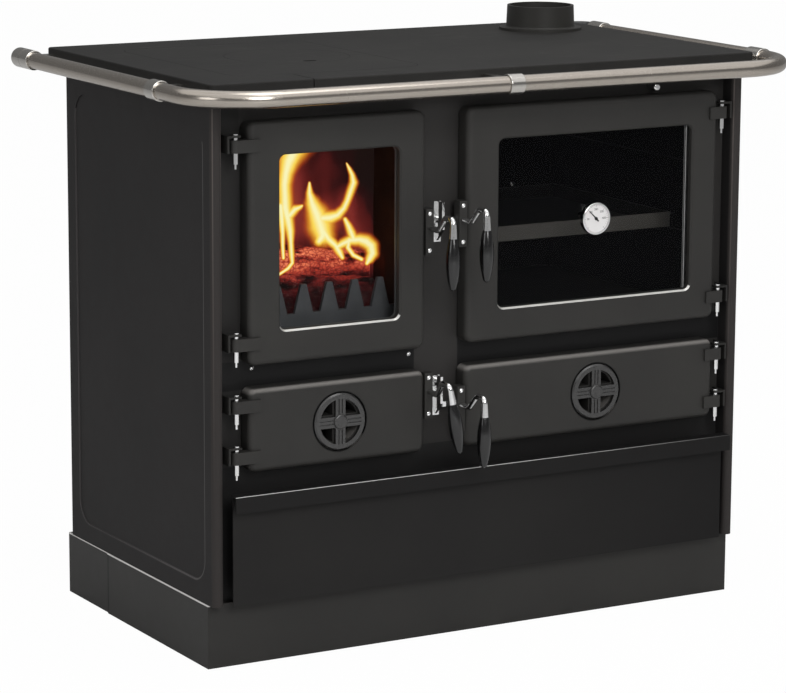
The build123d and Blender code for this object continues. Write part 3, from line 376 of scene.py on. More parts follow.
# Painted highlight on the fold that looks up, and painted shade over the right half; the lip's face is
# darker.
drawer_paint.tint(lit_fold, tone(196, 196, 194))
drawer_paint.tint(right_shade * 0.95, tone(20, 19, 19))
drawer_paint.tint(lip * 0.8, tone(20, 19, 19))
print("drawer's lip from", round(lip_foot, 4))

# %% Plinth with its seam and a painted highlight on its ledges
plinth_paint = charcoal("plinth_paint", tone(40, 39, 38), tone(47, 46, 44), 0.5, 0.24)
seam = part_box("plinth_front")[1].y - 0.0022
rear_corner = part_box("plinth_rear")[1]
ledge_side, ledge_foot = rear_corner.x - 0.002, rear_corner.z - 0.0022
ledge_highlight = (plinth_paint.along("X").size() > ledge_side) * (plinth_paint.along("Z") > ledge_foot)
plinth_paint.tint(plinth_paint.along("Y").near(seam, 0.0024), tone(5, 5, 5))
# Painted highlight: the ledges are coloured near white for the light they catch.
plinth_paint.tint(ledge_highlight, tone(215, 213, 211))
print("plinth's seam at", round(seam, 4))

# %% Vented doors with a lit upper edge and painted shade in the ring round the wheel
def vented_paint(name, wheel, ring_radius=0.0434, ring_half_width=0.0017):
    """Door paint, lighter where the rounded upper edge turns upwards to the light, with painted shade black
    round the wheel's rim.
    """
    paint = charcoal(name, **door_look)
    upward = paint.facing("Z")
    lit = ((upward - 0.2) * 2.4).held() * (1 - ((upward - 0.82) * 7.0).held())
    paint.tint(lit, tone(112, 109, 106))
    middle = middle_of(wheel)
    x, z = paint.along("X") - middle.x, paint.along("Z") - middle.z
    # Painted shade: a black ring in the gap round the wheel, on faces that do not look up.
    ring = ((x * x + z * z) ** 0.5).near(ring_radius, ring_half_width)
    paint.tint(ring * (upward < 0.5), tone(5, 5, 5))
    return paint


ash_paint = vented_paint("ash_door_paint", "ash_wheel")
lower_paint = vented_paint("lower_door_paint", "lower_wheel")
wheel_paint = charcoal("wheel_paint", tone(26, 25, 25), tone(40, 39, 38), 0.28, 0.85)
flue_paint = charcoal("flue_paint", tone(42, 41, 39), tone(50, 49, 46), 0.5, 0.2)
print("vented doors", ash_paint, lower_paint)

# %% [markdown]
# The hob is blackened cast iron, ground flat. It is rougher than the paint and its tone changes in
# smudges, where pans have been pushed about. Two noises that are stretched different ways give the
# faint rubbed streaks, and a fine one the sandy grain of a casting.

# %% Hob iron
def cast_hob():
    """Dark iron with rubbed streaks and a sandy grain, darker towards its left end."""
    iron = Finish("hob_iron", Specular_IOR_Level=0.2)
    cloud = iron.noise(7.0, detail=4.0, rough=0.55)
    grain = iron.noise(1300.0)
    along = iron.noise(9.0, detail=5.0, rough=0.7, stretch=(1.0, 14.0, 1.0))
    across = iron.noise(8.0, detail=5.0, rough=0.7, stretch=(16.0, 2.0, 1.0))
    rubbed = ((along - 0.58) * 5.0).held() + ((across - 0.6) * 5.0).held() * 0.7
    shade = (cloud + (grain - 0.5) * 0.3).held()
    ground = iron.ramp(shade, [(0.3, tone(26, 25, 24)), (0.72, tone(35, 34, 32))])
    iron.feed("Base Color", iron.mix(rubbed * 0.35, ground, tone(62, 60, 57)))
    iron.tint(((-0.12 - iron.along("X")) * 2.6).held() * 0.5, tone(17, 16, 15))
    iron.feed("Roughness", 0.62 - rubbed * 0.12 + grain * 0.06)
    iron.bump(grain, 0.00012, 0.6)
    return iron


hob_iron = cast_hob()
print("hob", hob_iron)

# %% [markdown]
# The handrail is brushed stainless tube with plainer sleeves. A brushed tube shows fine lines along its
# length. Its runs go both along X and along Y, so the noise is squeezed only in height: on every run
# that leaves long thin lines, and a second noise adds the small pits of use.

# %% Steels
def brushed_steel(name, colour, roughness, lines):
    """Steel whose lines run level, with a depth of line from 0 to 1."""
    steel = Finish(name, Metallic=1.0)
    brush = steel.noise(16.0, detail=6.0, rough=0.75, stretch=(1.0, 1.0, 90.0))
    pits = steel.noise(420.0, detail=3.0, rough=0.7)
    worn = ((pits - 0.6) * 6.0).held()
    dull = steel.mix(brush * lines, colour, tone(128, 124, 118))
    steel.feed("Base Color", steel.mix(worn * 0.45, dull, tone(110, 106, 100)))
    steel.feed("Roughness", roughness + brush * lines * 0.22 + worn * 0.12)
    steel.bump(brush + worn * 0.4, 0.00003, 0.5)
    return steel


rail_steel = brushed_steel("rail_steel", tone(192, 183, 173), 0.15, 0.8)
sleeve_steel = brushed_steel("sleeve_steel", tone(198, 195, 190), 0.16, 0.35)
chrome = brushed_steel("polished_chrome", tone(222, 222, 222), 0.06, 0.1)
print("steels", rail_steel, sleeve_steel, chrome)

# %% [markdown]
# The grips are turned from black glossy plastic and the short elbow of the rail is black satin. Both
# are nearly black, so they live from their gloss: a clear coat over a slightly clouded base.

# %% Black mouldings
def black_moulding(name, colour, roughness, coat):
    """Near-black plastic under a clear coat with faint clouds and finger marks in its gloss."""
    moulding = Finish(name, Coat_Weight=coat, Coat_Roughness=0.05)
    cloud = moulding.noise(60.0, detail=3.0)
    marks = moulding.noise(240.0, detail=4.0, rough=0.65)
    moulding.feed("Base Color", moulding.ramp(cloud, [(0.3, colour), (0.75, tone(13, 12, 13))]))
    moulding.feed("Roughness", roughness + marks * 0.1)
    moulding.bump(marks, 0.00002, 0.4)
    return moulding


grip_black = black_moulding("grip_black", tone(4, 4, 5), 0.16, 0.35)
elbow_black = black_moulding("elbow_black", tone(14, 14, 14), 0.34, 0.15)
print("mouldings", grip_black, elbow_black)

# %% [markdown]
# Stove glass is a clear ceramic pane with a slight smoke tint. A refracting shader would be slow and
# noisy in front of a fire, so the pane is a dark, smooth surface that is mostly transparent, and soot
# makes it a little less so in soft patches.

# %% Stove glass
def stove_glass(name, cover, soot, bright_edge=None):
    """Dark pane that covers a share of what is behind it, more where soot lies.

    A bright edge is a line 1.6 mm wide at that X, where the pane's border catches the light.
    """
    smoke = tone(6, 6, 8)
    pane = Finish(name, Base_Color=smoke, Roughness=0.05, Specular_IOR_Level=0.12)
    veil = cover + (pane.noise(9.0, detail=3.0) - 0.5) * soot
    if bright_edge is not None:
        lit = pane.along("X").near(bright_edge, 0.0008)
        pane.feed("Base Color", pane.mix(lit, smoke, tone(150, 150, 150)))
        veil = veil + lit * 0.5
    pane.feed("Alpha", veil.held())
    return pane


oven_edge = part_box("oven_glass")[1].x - 0.0129
fire_pane = stove_glass("fire_pane", cover=0.08, soot=0.06)
oven_pane = stove_glass("oven_pane", cover=0.3, soot=0.1, bright_edge=oven_edge)
print("panes", fire_pane, oven_pane)

# %% [markdown]
# Inside, everything is dark: black heat-proof steel, glossy enamel on the baking tray, rough iron round
# the fire and sooty firebrick. Plain black would do behind shut doors, but they can be opened, so each
# keeps its own grain. Only the tray's front edge is light, as a painted highlight along it.

# %% Dark inner surfaces
def inner_surface(name, dark, light, roughness, gloss, grain_scale, grain_depth):
    """Dark surface between two tones, with a grain of a given fineness and depth in metres."""
    inner = Finish(name, Specular_IOR_Level=gloss)
    cloud = inner.noise(12.0, detail=4.0, rough=0.6)
    grain = inner.noise(grain_scale, detail=3.0, rough=0.6)
    shade = (cloud * 0.75 + grain * 0.25).held()
    inner.feed("Base Color", inner.ramp(shade, [(0.32, dark), (0.68, light)]))
    inner.feed("Roughness", roughness + (grain - 0.5) * 0.14)
    inner.bump(grain, grain_depth, 0.7)
    return inner


inner_steel = inner_surface("inner_steel", tone(11, 11, 12), tone(19, 19, 19), 0.55, 0.2, 700.0, 0.00008)
frame_steel = inner_surface("frame_steel", tone(70, 70, 70), tone(92, 92, 90), 0.4, 0.5, 900.0, 0.00003)
fire_iron = inner_surface("fire_iron", tone(58, 60, 62), tone(80, 82, 84), 0.6, 0.35, 420.0, 0.00035)
firebrick = inner_surface("firebrick", tone(22, 14, 12), tone(66, 42, 32), 0.9, 0.1, 300.0, 0.0009)
tray_enamel = inner_surface("tray_enamel", tone(24, 24, 24), tone(36, 35, 34), 0.3, 0.4, 260.0, 0.00003)
tray_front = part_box("oven_shelf")[0].y + 0.0015
# Painted highlight: a light band along the tray's front edge.
tray_enamel.tint((tray_enamel.along("Y") < tray_front) * 0.85, tone(128, 125, 119))
print("inner finishes", inner_steel, fire_iron, firebrick)

# %% [markdown]
# The dial is printed card, the needle is black tin and the seals are woven glass rope. They are small,
# so each needs only the texture that a close look would find.

# %% Dial, needle and rope
dial_white = Finish("dial_white", Specular_IOR_Level=0.3)
fibre = dial_white.noise(3500.0)
card_tones = [(0.2, tone(214, 212, 212)), (0.8, tone(232, 230, 229))]
dial_white.feed("Base Color", dial_white.ramp(fibre, card_tones))
dial_white.feed("Roughness", 0.4 + fibre * 0.1)

needle_black = Finish("needle_black", Specular_IOR_Level=0.4)
speck = needle_black.noise(2500.0)
tin_tones = [(0.2, tone(10, 10, 10)), (0.8, tone(24, 23, 23))]
needle_black.feed("Base Color", needle_black.ramp(speck, tin_tones))
needle_black.feed("Roughness", 0.35 + speck * 0.15)

rope_weave = Finish("rope", Roughness=0.9, Specular_IOR_Level=0.1)
yarn = rope_weave.noise(1500.0, detail=3.0)
smoke = rope_weave.noise(14.0, detail=3.0)
rope_tones = [(0.35, tone(58, 56, 53)), (0.65, tone(116, 112, 105))]
rope_weave.feed("Base Color", rope_weave.ramp((yarn * 0.4 + smoke * 0.6).held(), rope_tones))
rope_weave.bump(yarn, 0.0002, 0.8)
print("small finishes", dial_white, needle_black, rope_weave)

# %% [markdown]
# Every CAD node keeps its shape and gets one of these finishes in its material slot. A line for each node
# would repeat itself, so the table is the stove's parts list by finish, and one helper names the pieces
# that every door has.

# %% Dress the CAD nodes
doors = ("fire", "oven", "ash", "lower")


def on_doors(*kinds):
    """Names of the nodes of some kinds on all four doors."""
    return " ".join(f"{door}_{kind}" for kind in kinds for door in doors)


finish_of = {
    panel_paint: "back_panel hinge_brackets",
    plinth_paint: "plinth_front plinth_rear",
    side_paint: "side_panel_left side_panel_right",
    drawer_paint: "drawer_front",
    plate_paint: "front_plate",
    door_paint: on_doors("hinge_leaves", "latch_bracket"),
    ash_paint: "ash_door",
    lower_paint: "lower_door",
    wheel_paint: "ash_wheel lower_wheel",
    flue_paint: "flue_collar",
    glazed_paint: "fire_door oven_door",
    inner_steel: "hearth_deck firebox_shell oven_box ash_pan drawer_box drawer_runners damper_rod",
    frame_steel: "fire_glass_frame oven_glass_frame",
    tray_enamel: "oven_shelf",
    hob_iron: "hob_frame hob_plate hob_lid",
    fire_iron: "grate log_guard",
    firebrick: "firebricks",
    rail_steel: "handrail",
    sleeve_steel: "rail_fittings",
    chrome: "hinge_pins latch_keepers thermometer_case damper_knob " + on_doors("lever"),
    elbow_black: "rail_elbow",
    grip_black: on_doors("grip"),
    fire_pane: "fire_glass",
    oven_pane: "oven_glass",
    rope_weave: "fire_seal oven_seal",
    dial_white: "thermometer_dial",
    needle_black: "thermometer_needle",
}
for finish, names in finish_of.items():
    for name in names.split():
        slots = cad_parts[name].data.materials
        slots.clear()
        slots.append(finish.material)
dressed = sum(len(names.split()) for names in finish_of.values())
print("dressed", dressed, "of", len(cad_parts), "nodes")

# %% [markdown]
# New pieces are grids of points. A grid can be an open sheet, a tube when its columns close on
# themselves, or a closed body when its end rows are also capped. One helper turns any number of equal
# grids into one mesh, and turns the faces of a closed body outwards by the sign of its volume.

# %% Grids to meshes
def piece(name, points, finish, body, around=False, capped=False, heat=None):
    """Object from grids of points with the shape (grids, rows, columns, 3).

    Each face joins a point to the next of its row and of its column. With around the last column joins
    the first, with capped each end row also closes in a fan at its mean, and heat is one value per point.
    The sign of a capped body's volume tells which way its faces turn.
    """
    grids, rows, columns, _ = points.shape
    index = np.arange(grids * rows * columns).reshape(grids, rows, columns)
    beside = np.roll(index, -1, axis=2) if around else index[:, :, 1:]
    here = index if around else index[:, :, :-1]
    corners = (here[:, :-1], beside[:, :-1], beside[:, 1:], here[:, 1:])
    faces = np.stack(corners, axis=-1).reshape(-1, 4)
    spots = points.reshape(-1, 3)
    fans = np.empty((0, 3), int)
    if capped:
        tips = np.concatenate((points[:, 0].mean(axis=1), points[:, -1].mean(axis=1)))
        tip_index = np.arange(2 * grids).reshape(2, grids, 1) + len(spots)
        first_tip, last_tip = np.broadcast_arrays(*tip_index, index[:, 0])[:2]
        first = np.stack((index[:, 0], first_tip, beside[:, 0]), axis=-1)
        last = np.stack((index[:, -1], beside[:, -1], last_tip), axis=-1)
        fans = np.concatenate((first, last)).reshape(-1, 3)
        spots = np.concatenate((spots, tips))
        triangles = np.concatenate((faces[:, :3], faces[:, (0, 2, 3)], fans))
        a, b, c = (spots[triangles[:, k]] for k in range(3))
        if np.einsum("ij,ij->", a, np.cross(b, c)) < 0:
            faces, fans = faces[:, ::-1], fans[:, ::-1]
    mesh = bpy.data.meshes.new(name)
    mesh.from_pydata(spots.tolist(), [], faces.tolist() + fans.tolist())
    mesh.polygons.foreach_set("use_smooth", np.ones(len(mesh.polygons), bool))
    if heat is not None:
        mesh.attributes.new("burn", "FLOAT", "POINT").data.foreach_set("value", heat.ravel())
    mesh.materials.append(finish.material)
    made = into_scene(name, mesh)
    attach(made, body)
    print(name, "points", len(spots), "faces", len(mesh.polygons))
    return made


# %% [markdown]
# Screws hold the latch brackets, the front plate and the oven's runners. A real one is a low dome with a
# slot. A head could be cut from a ball, but a formula for one dome makes them all, with the slot as a dip.

# %% Slotted screw heads
def screws(name, body, centres, way, radius=0.0032, height=0.0016):
    """Domes on a surface that faces along way: the height falls with the square of the radius.

    The slot is a slanting dip across the middle, half as deep as the dome is high. The outermost ring
    is sunk into the surface.
    """
    way = np.array(way, float)
    level = np.cross(way, (0.0, 0.0, 1.0))
    reach = np.concatenate(((1.0, 1.0), np.linspace(0.97, 0.1, 8)))[:, None]
    turn = np.linspace(0, 2 * np.pi, 28, endpoint=False)
    across = radius * reach * np.cos(turn)
    up = radius * reach * np.sin(turn)
    rise = height * (1.0 - 0.75 * reach ** 2) * np.ones_like(across)
    slot = np.clip(2.2 - np.abs(up + 0.5 * across) / (0.12 * radius), 0, 1)
    rise -= 0.5 * height * slot * (reach < 0.95)
    rise[0] = -0.0002
    shape = rise[..., None] * way + across[..., None] * level + up[..., None] * np.array((0, 0, 1.0))
    points = np.array(centres, float)[:, None, None] + shape
    return piece(name, points, chrome, body, around=True, capped=True)


to_front, to_left = (0, -1, 0), (-1, 0, 0)
from_end = 0.007
for door in doors:
    low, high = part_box(f"{door}_latch_bracket")
    middle = (low.x + high.x) / 2
    ends = [(middle, low.y, low.z + from_end), (middle, low.y, high.z - from_end)]
    screws(f"{door}_latch_screws", f"{door}_door", ends, to_front)
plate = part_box("front_plate")[0].y
plate_places = [(-0.376, plate, 0.434), (-0.117, plate, 0.430)]
screws("plate_screws", "stove", plate_places, to_front)
oven_sheet = 0.002
oven_wall, oven_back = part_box("oven_box")[1].x - oven_sheet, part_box("oven_box")[1].y - oven_sheet
runner_places = [(oven_wall, -0.115, 0.644), (oven_wall, -0.117, 0.592)]
screws("runner_screws", "stove", runner_places, to_left, radius=0.004)
screws("oven_back_screw", "stove", [(0.320, oven_back, 0.597)], to_front, radius=0.004)

# %% [markdown]
# The rope seals are soft, so the CAD's plain rings are replaced. A seal rope is braided: two sets of
# yarns wind round it opposite ways and cross. A round section is carried along the groove, and the two
# windings raise its surface where a yarn lies on top.

# %% Braided rope seals
def rope_ring(name, node, body):
    """Round section along a rounded rectangle; its radius swells with two opposite windings of yarn.

    Four yarns wind each way, and a yarn goes once round the rope in one lay. The corner is the radius
    that the rope's middle turns in. The last row of points repeats the first.
    """
    low, high = (np.array(corner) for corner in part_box(node))
    depth = (high[1] - low[1]) / 2
    middle, half = (low + high) / 2, (high - low) / 2 - depth
    corner, lay = 0.009, 0.011
    stations, yarn_points = 1100, 20
    turn = np.linspace(0, np.pi / 2, 12)
    arcs = [
        np.stack((sx * (half[0] - corner) + corner * np.cos(turn + k * np.pi / 2),
                  sz * (half[2] - corner) + corner * np.sin(turn + k * np.pi / 2)), axis=-1)
        for k, (sx, sz) in enumerate(((1, 1), (-1, 1), (-1, -1), (1, -1)))
    ]
    outline = np.concatenate(arcs + [arcs[0][:1]])
    run = np.concatenate(([0.0], np.cumsum(np.linalg.norm(np.diff(outline, axis=0), axis=1))))
    travel = np.linspace(0, run[-1], stations + 1)
    path = np.stack([np.interp(travel, run, outline[:, k]) for k in range(2)], axis=-1)
    ahead = np.roll(path[:-1], -1, axis=0) - np.roll(path[:-1], 1, axis=0)
    ahead /= np.linalg.norm(ahead, axis=1, keepdims=True)
    side = np.stack((ahead[:, 1], -ahead[:, 0]), axis=-1)
    angle = np.linspace(0, 2 * np.pi, yarn_points, endpoint=False)[None]
    wind = 2 * np.pi * np.round(run[-1] / lay) * (travel[:-1] / run[-1])[:, None]
    yarn = np.maximum(np.cos(4 * angle + 4 * wind), np.cos(4 * angle - 4 * wind))
    radius = depth * (0.93 + 0.06 * yarn)
    points = np.empty((1, stations + 1, yarn_points, 3))
    out, fore = radius * np.cos(angle), radius * np.sin(angle)
    points[0, :-1, :, 0] = middle[0] + path[:-1, :1] + side[:, :1] * out
    points[0, :-1, :, 1] = middle[1] + fore
    points[0, :-1, :, 2] = middle[2] + path[:-1, 1:] + side[:, 1:] * out
    points[0, -1] = points[0, 0]
    ring = piece(name, points, rope_weave, body, around=True)
    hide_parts(node)
    return ring


rope_ring("fire_rope", "fire_seal", "fire_door")
rope_ring("oven_rope", "oven_seal", "oven_door")

# %% [markdown]
# The thermometer's card has a ring of ticks and a few plain numbers. Real print has no thickness and
# would need an image, but a bar 0.04 mm thick that lies on the card renders cleanly and needs none.

# %% Ticks round the dial
dial_middle = middle_of("thermometer_dial")
dial_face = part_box("thermometer_dial")[0].y - 0.00003
print_half = 0.00002


def dial_ticks(name, angles, inner, outer, width):
    """Thin bars on the dial from an inner to an outer radius, at angles clockwise from the top."""
    angles = np.radians(np.array(angles, float))
    away = np.stack((np.sin(angles), np.zeros_like(angles), np.cos(angles)), axis=-1)
    beside = np.stack((np.cos(angles), np.zeros_like(angles), -np.sin(angles)), axis=-1)
    reach = np.array((inner, outer, outer, inner))[:, None]
    shift = np.array((-1, -1, 1, 1))[:, None] * width / 2
    depth = np.array((print_half, -print_half))[:, None, None] * np.array((0, 1, 0))
    points = away[:, None, None] * reach + beside[:, None, None] * shift + depth
    points = points + np.array((dial_middle.x, dial_face, dial_middle.z))
    return piece(name, points, needle_black, "oven_door", around=True, capped=True)


dial_ticks("dial_fine_ticks", np.arange(-135, 136, 9), 0.0192, 0.0207, 0.00022)
dial_ticks("dial_main_ticks", np.arange(-135, 136, 45), 0.0180, 0.0209, 0.0005)

# %% Numbers on the dial
def dial_number(text, angle, reach, size):
    """Flat figures of Blender's own font, made a mesh and set upright on the dial."""
    curve = bpy.data.curves.new(f"dial_number_{text}", "FONT")
    curve.body = text
    curve.size = size
    curve.align_x = "CENTER"
    curve.align_y = "CENTER"
    curve.extrude = print_half
    writing = into_scene(f"dial_writing_{text}", curve)
    bpy.context.view_layer.update()
    mesh = bpy.data.meshes.new_from_object(writing.evaluated_get(bpy.context.evaluated_depsgraph_get()))
    bpy.data.objects.remove(writing)
    flat = np.empty(len(mesh.vertices) * 3)
    mesh.vertices.foreach_get("co", flat)
    flat = flat.reshape(-1, 3)
    angle = np.radians(angle)
    x = dial_middle.x + reach * np.sin(angle) + flat[:, 0]
    z = dial_middle.z + reach * np.cos(angle) + flat[:, 1]
    mesh.vertices.foreach_set("co", np.column_stack((x, dial_face - flat[:, 2], z)).ravel())
    mesh.materials.clear()
    mesh.materials.append(needle_black.material)
    made = into_scene(f"dial_number_{text}", mesh)
    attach(made, "oven_door")
    return made


dial_numbers = {"50": -90, "100": -45, "200": 0, "300": 45, "400": 90}
for text, angle in dial_numbers.items():
    dial_number(text, angle, reach=0.0140, size=0.0046)
print("numbers on the dial", list(dial_numbers))

# %% [markdown]
# The fire. Three split logs lie on a bed of embers. Burning wood is black and cracked, and it glows
# where the crust is thin. A scanned log would be a heavy file of points, so a log here is a round
# section along a line, whose radius carries ridges of bark, and cells in the shader crack its crust.

# %% Glowing char
def glowing_char(name, crust, glow_share, strength, dark_below):
    """Black crust in cells about 6 mm wide, with a red to orange glow in long patches.

    The glow fades away below a height, where the embers lie in each other's shade.
    """
    char = Finish(name, Roughness=0.95, Specular_IOR_Level=0.1, Emission_Strength=strength)
    warp = char.noise(30.0, detail=3.0)
    cells = char.node(
        "ShaderNodeTexVoronoi", {"feature": "DISTANCE_TO_EDGE"},
        {"Vector": char.place(), "Scale": 170.0},
    )
    cracks = (cells * 9.0).held()
    grain = char.noise(26.0, detail=5.0, rough=0.62, stretch=(0.4, 1.0, 1.0))
    shaded = ((char.along("Z") - dark_below) * 26.0).held() * 0.94 + 0.06
    patch = ((grain - glow_share) * 8.0).held() * shaded
    ash = ((char.noise(120.0, detail=4.0, rough=0.7) - 0.55) * 5.0).held()
    heat = (patch * (0.5 + cracks * 0.5) * (0.35 + warp)).held()
    stops = [
        (0.0, tone(8, 3, 4)), (0.2, tone(64, 16, 16)), (0.42, tone(122, 36, 30)),
        (0.7, tone(176, 66, 48)), (1.0, tone(236, 132, 92)),
    ]
    char.feed("Emission Color", char.ramp(heat, stops))
    char.feed("Base Color", char.mix(ash * 0.5, crust, tone(92, 84, 80)))
    char.bump(cracks * 0.5 + ash * 0.5, 0.0015, 0.8)
    return char


log_char = glowing_char("log_char", tone(17, 13, 12), glow_share=0.4, strength=1.25, dark_below=0.522)
ember_char = glowing_char("ember_char", tone(14, 10, 10), glow_share=0.5, strength=0.3, dark_below=0.44)
print("char", log_char, ember_char)

# %% Split logs
def log(name, start, end, radius, seed):
    """Round section along a line; its radius is swollen by waves that wind round it both ways.

    Each has a number of crests round the log, a pace along it and a size. The radius also shrinks over
    the last 3.5 percent of the length at either end, which rounds the edges of the cut faces.
    """
    dice = np.random.default_rng(seed)
    start, end = np.array(start), np.array(end)
    ahead = (end - start) / np.linalg.norm(end - start)
    side = np.cross(ahead, (0, 0, 1.0))
    side /= np.linalg.norm(side)
    up = np.cross(side, ahead)
    along = np.linspace(0, 1, 90)[:, None]
    angle = np.linspace(0, 2 * np.pi, 110, endpoint=False)[None]
    swell = np.zeros((90, 110))
    waves = ((3, 1, 0.05), (7, 2, 0.035), (13, 3, 0.025), (23, 5, 0.018), (9, 17, 0.012))
    for crests, pace, size in waves:
        swell += size * np.sin(crests * angle + pace * 6.0 * along + dice.uniform(0, 6.28))
        swell += size * np.sin(crests * angle - pace * 9.0 * along + dice.uniform(0, 6.28)) * 0.6
    past_end = np.clip(np.abs(along - 0.5) / 0.5 - 0.93, 0, 1)
    reach = radius * (1 + swell) * np.sqrt(np.clip(1 - past_end ** 2 / 0.0050, 0.35, 1))
    sideways = (reach * np.cos(angle))[..., None] * side
    upwards = (reach * np.sin(angle))[..., None] * up
    points = start + along[..., None] * (end - start) + sideways + upwards
    return piece(name, points[None], log_char, "stove", around=True, capped=True)


log("front_log", (-0.356, -0.112, 0.508), (-0.142, -0.126, 0.500), radius=0.040, seed=3)
log("back_log", (-0.352, 0.012, 0.540), (-0.140, -0.040, 0.500), radius=0.044, seed=8)
log("top_log", (-0.330, -0.052, 0.566), (-0.128, -0.082, 0.534), radius=0.030, seed=21)

# %% [markdown]
# Under the logs lies a heap of coals. Single coals would be many pieces that hardly show behind the log
# guard, so the heap is one height field over a rounded square, highest in the middle and closed below.

# %% Bed of embers
def ember_bed(name, middle, half_x, half_y, base, height, seed):
    """Rings that grow from the middle; the height is a low hill plus lumps from crossed waves.

    The last two rings run back to the middle at the height of the base and close the underside.
    """
    dice = np.random.default_rng(seed)
    ring = np.concatenate((np.linspace(0.02, 1, 70), (1.0, 0.02)))[:, None]
    angle = np.linspace(0, 2 * np.pi, 150, endpoint=False)[None]
    c, s = np.cos(angle), np.sin(angle)
    square = (np.abs(c) ** 5 + np.abs(s) ** 5) ** -0.2
    x = middle[0] + half_x * ring * square * c
    y = middle[1] + half_y * ring * square * s
    lumps = np.zeros_like(x)
    for pitch in (0.052, 0.034, 0.023, 0.016):
        tilt, shift = dice.uniform(0, np.pi), dice.uniform(0, 6.28, 2)
        along = x * np.cos(tilt) + y * np.sin(tilt)
        across = y * np.cos(tilt) - x * np.sin(tilt)
        crests = np.sin(6.28 * along / pitch + shift[0])
        lumps += pitch * np.abs(crests * np.sin(6.28 * across / pitch + shift[1]))
    z = base + (height * (1 - 0.7 * ring ** 2) + 0.28 * lumps) * (ring < 0.995)
    z[-2:] = base
    points = np.stack((x, y, z * np.ones_like(x)), axis=-1)
    return piece(name, points[None], ember_char, "stove", around=True, capped=True)


grate_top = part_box("grate")[1].z + 0.0005
ember_bed("ember_bed", (-0.243, -0.004), half_x=0.126, half_y=0.150, base=grate_top, height=0.034, seed=5)

# %% [markdown]
# Flames are hot gas with no surface. A simulated fire would not stand still in the pose of the
# photograph, so the flames lie on one thin sheet, with a second sheet of red glow behind it. A sheet
# carries a heat value at every point: strokes with a tapering width are laid on it, and the heat falls
# from 1 on a stroke's line to 0 at its edge. The colour and the cover then both follow the heat.

# %% Strokes of heat
def stroke_heat(across, up, strokes):
    """Largest value, over all the strokes, of 1 minus the distance to the line over the local width.

    A stroke is a list of points: how far across, how high, and the width there.
    """
    heat = np.zeros_like(across)
    for stroke in strokes:
        for (x0, z0, r0), (x1, z1, r1) in zip(stroke, stroke[1:]):
            dx, dz = x1 - x0, z1 - z0
            share = np.clip(((across - x0) * dx + (up - z0) * dz) / (dx * dx + dz * dz), 0, 1)
            gap = np.hypot(across - x0 - share * dx, up - z0 - share * dz)
            heat = np.maximum(heat, 1 - gap / (r0 + share * (r1 - r0)))
    return heat


def flame_sheet(name, finish, middle, span, heights, strokes, size):
    """Upright sheet that faces the camera's yaw; crossed waves bend it by up to 1.6 mm.

    Its numbers are millimetres, across from the middle and up from the floor, but size is its count of
    points each way.
    """
    across = np.linspace(*span, size[0])[None] * np.ones((size[1], 1))
    up = np.linspace(*heights, size[1])[:, None] * np.ones((1, size[0]))
    heat = stroke_heat(across, up, strokes)
    yaw = np.radians(photo_yaw)
    deep = np.sin(across * 0.055 + up * 0.02) + 0.6 * np.sin(up * 0.06 - across * 0.03)
    x = middle[0] + across * np.cos(yaw) + deep * np.sin(yaw)
    y = middle[1] - across * np.sin(yaw) + deep * np.cos(yaw)
    points = np.stack((x, y, up), axis=-1)[None] / 1000
    return piece(name, points, finish, "stove", heat=heat)


# %% Flame and glow
def burning(name, stops, cover, strength, restless):
    """Emission colour along the heat, and a cover that rises from 0 to 1 over a span of heat.

    The restless share is how far slow clouds push the heat up and down.
    """
    fire = Finish(
        name, Base_Color=tone(0, 0, 0), Roughness=1.0, Specular_IOR_Level=0.0, Emission_Strength=strength
    )
    heat = fire.node("ShaderNodeAttribute", {"attribute_name": "burn"}, output="Fac")
    flicker = fire.noise(26.0, detail=3.0, stretch=(1.0, 1.0, 0.35))
    heat = (heat + (flicker - 0.5) * restless).held()
    fire.feed("Emission Color", fire.ramp(heat, stops))
    fire.feed("Alpha", ((heat - cover[0]) * (1 / (cover[1] - cover[0]))).held())
    return fire


yellow_tones = [
    (0.0, tone(120, 26, 16)), (0.26, tone(204, 84, 30)), (0.46, tone(242, 162, 44)),
    (0.68, tone(255, 222, 92)), (0.94, tone(255, 250, 190)),
]
red_tones = [
    (0.0, tone(29, 18, 16)), (0.3, tone(46, 18, 18)), (0.55, tone(92, 30, 28)),
    (0.8, tone(130, 46, 42)), (1.0, tone(146, 58, 44)),
]
flame_yellow = burning("flame_yellow", yellow_tones, cover=(0.04, 0.62), strength=1.1, restless=0.34)
glow_red = burning("glow_red", red_tones, cover=(-0.25, -0.05), strength=1.0, restless=0.9)
print("fire", flame_yellow, glow_red)

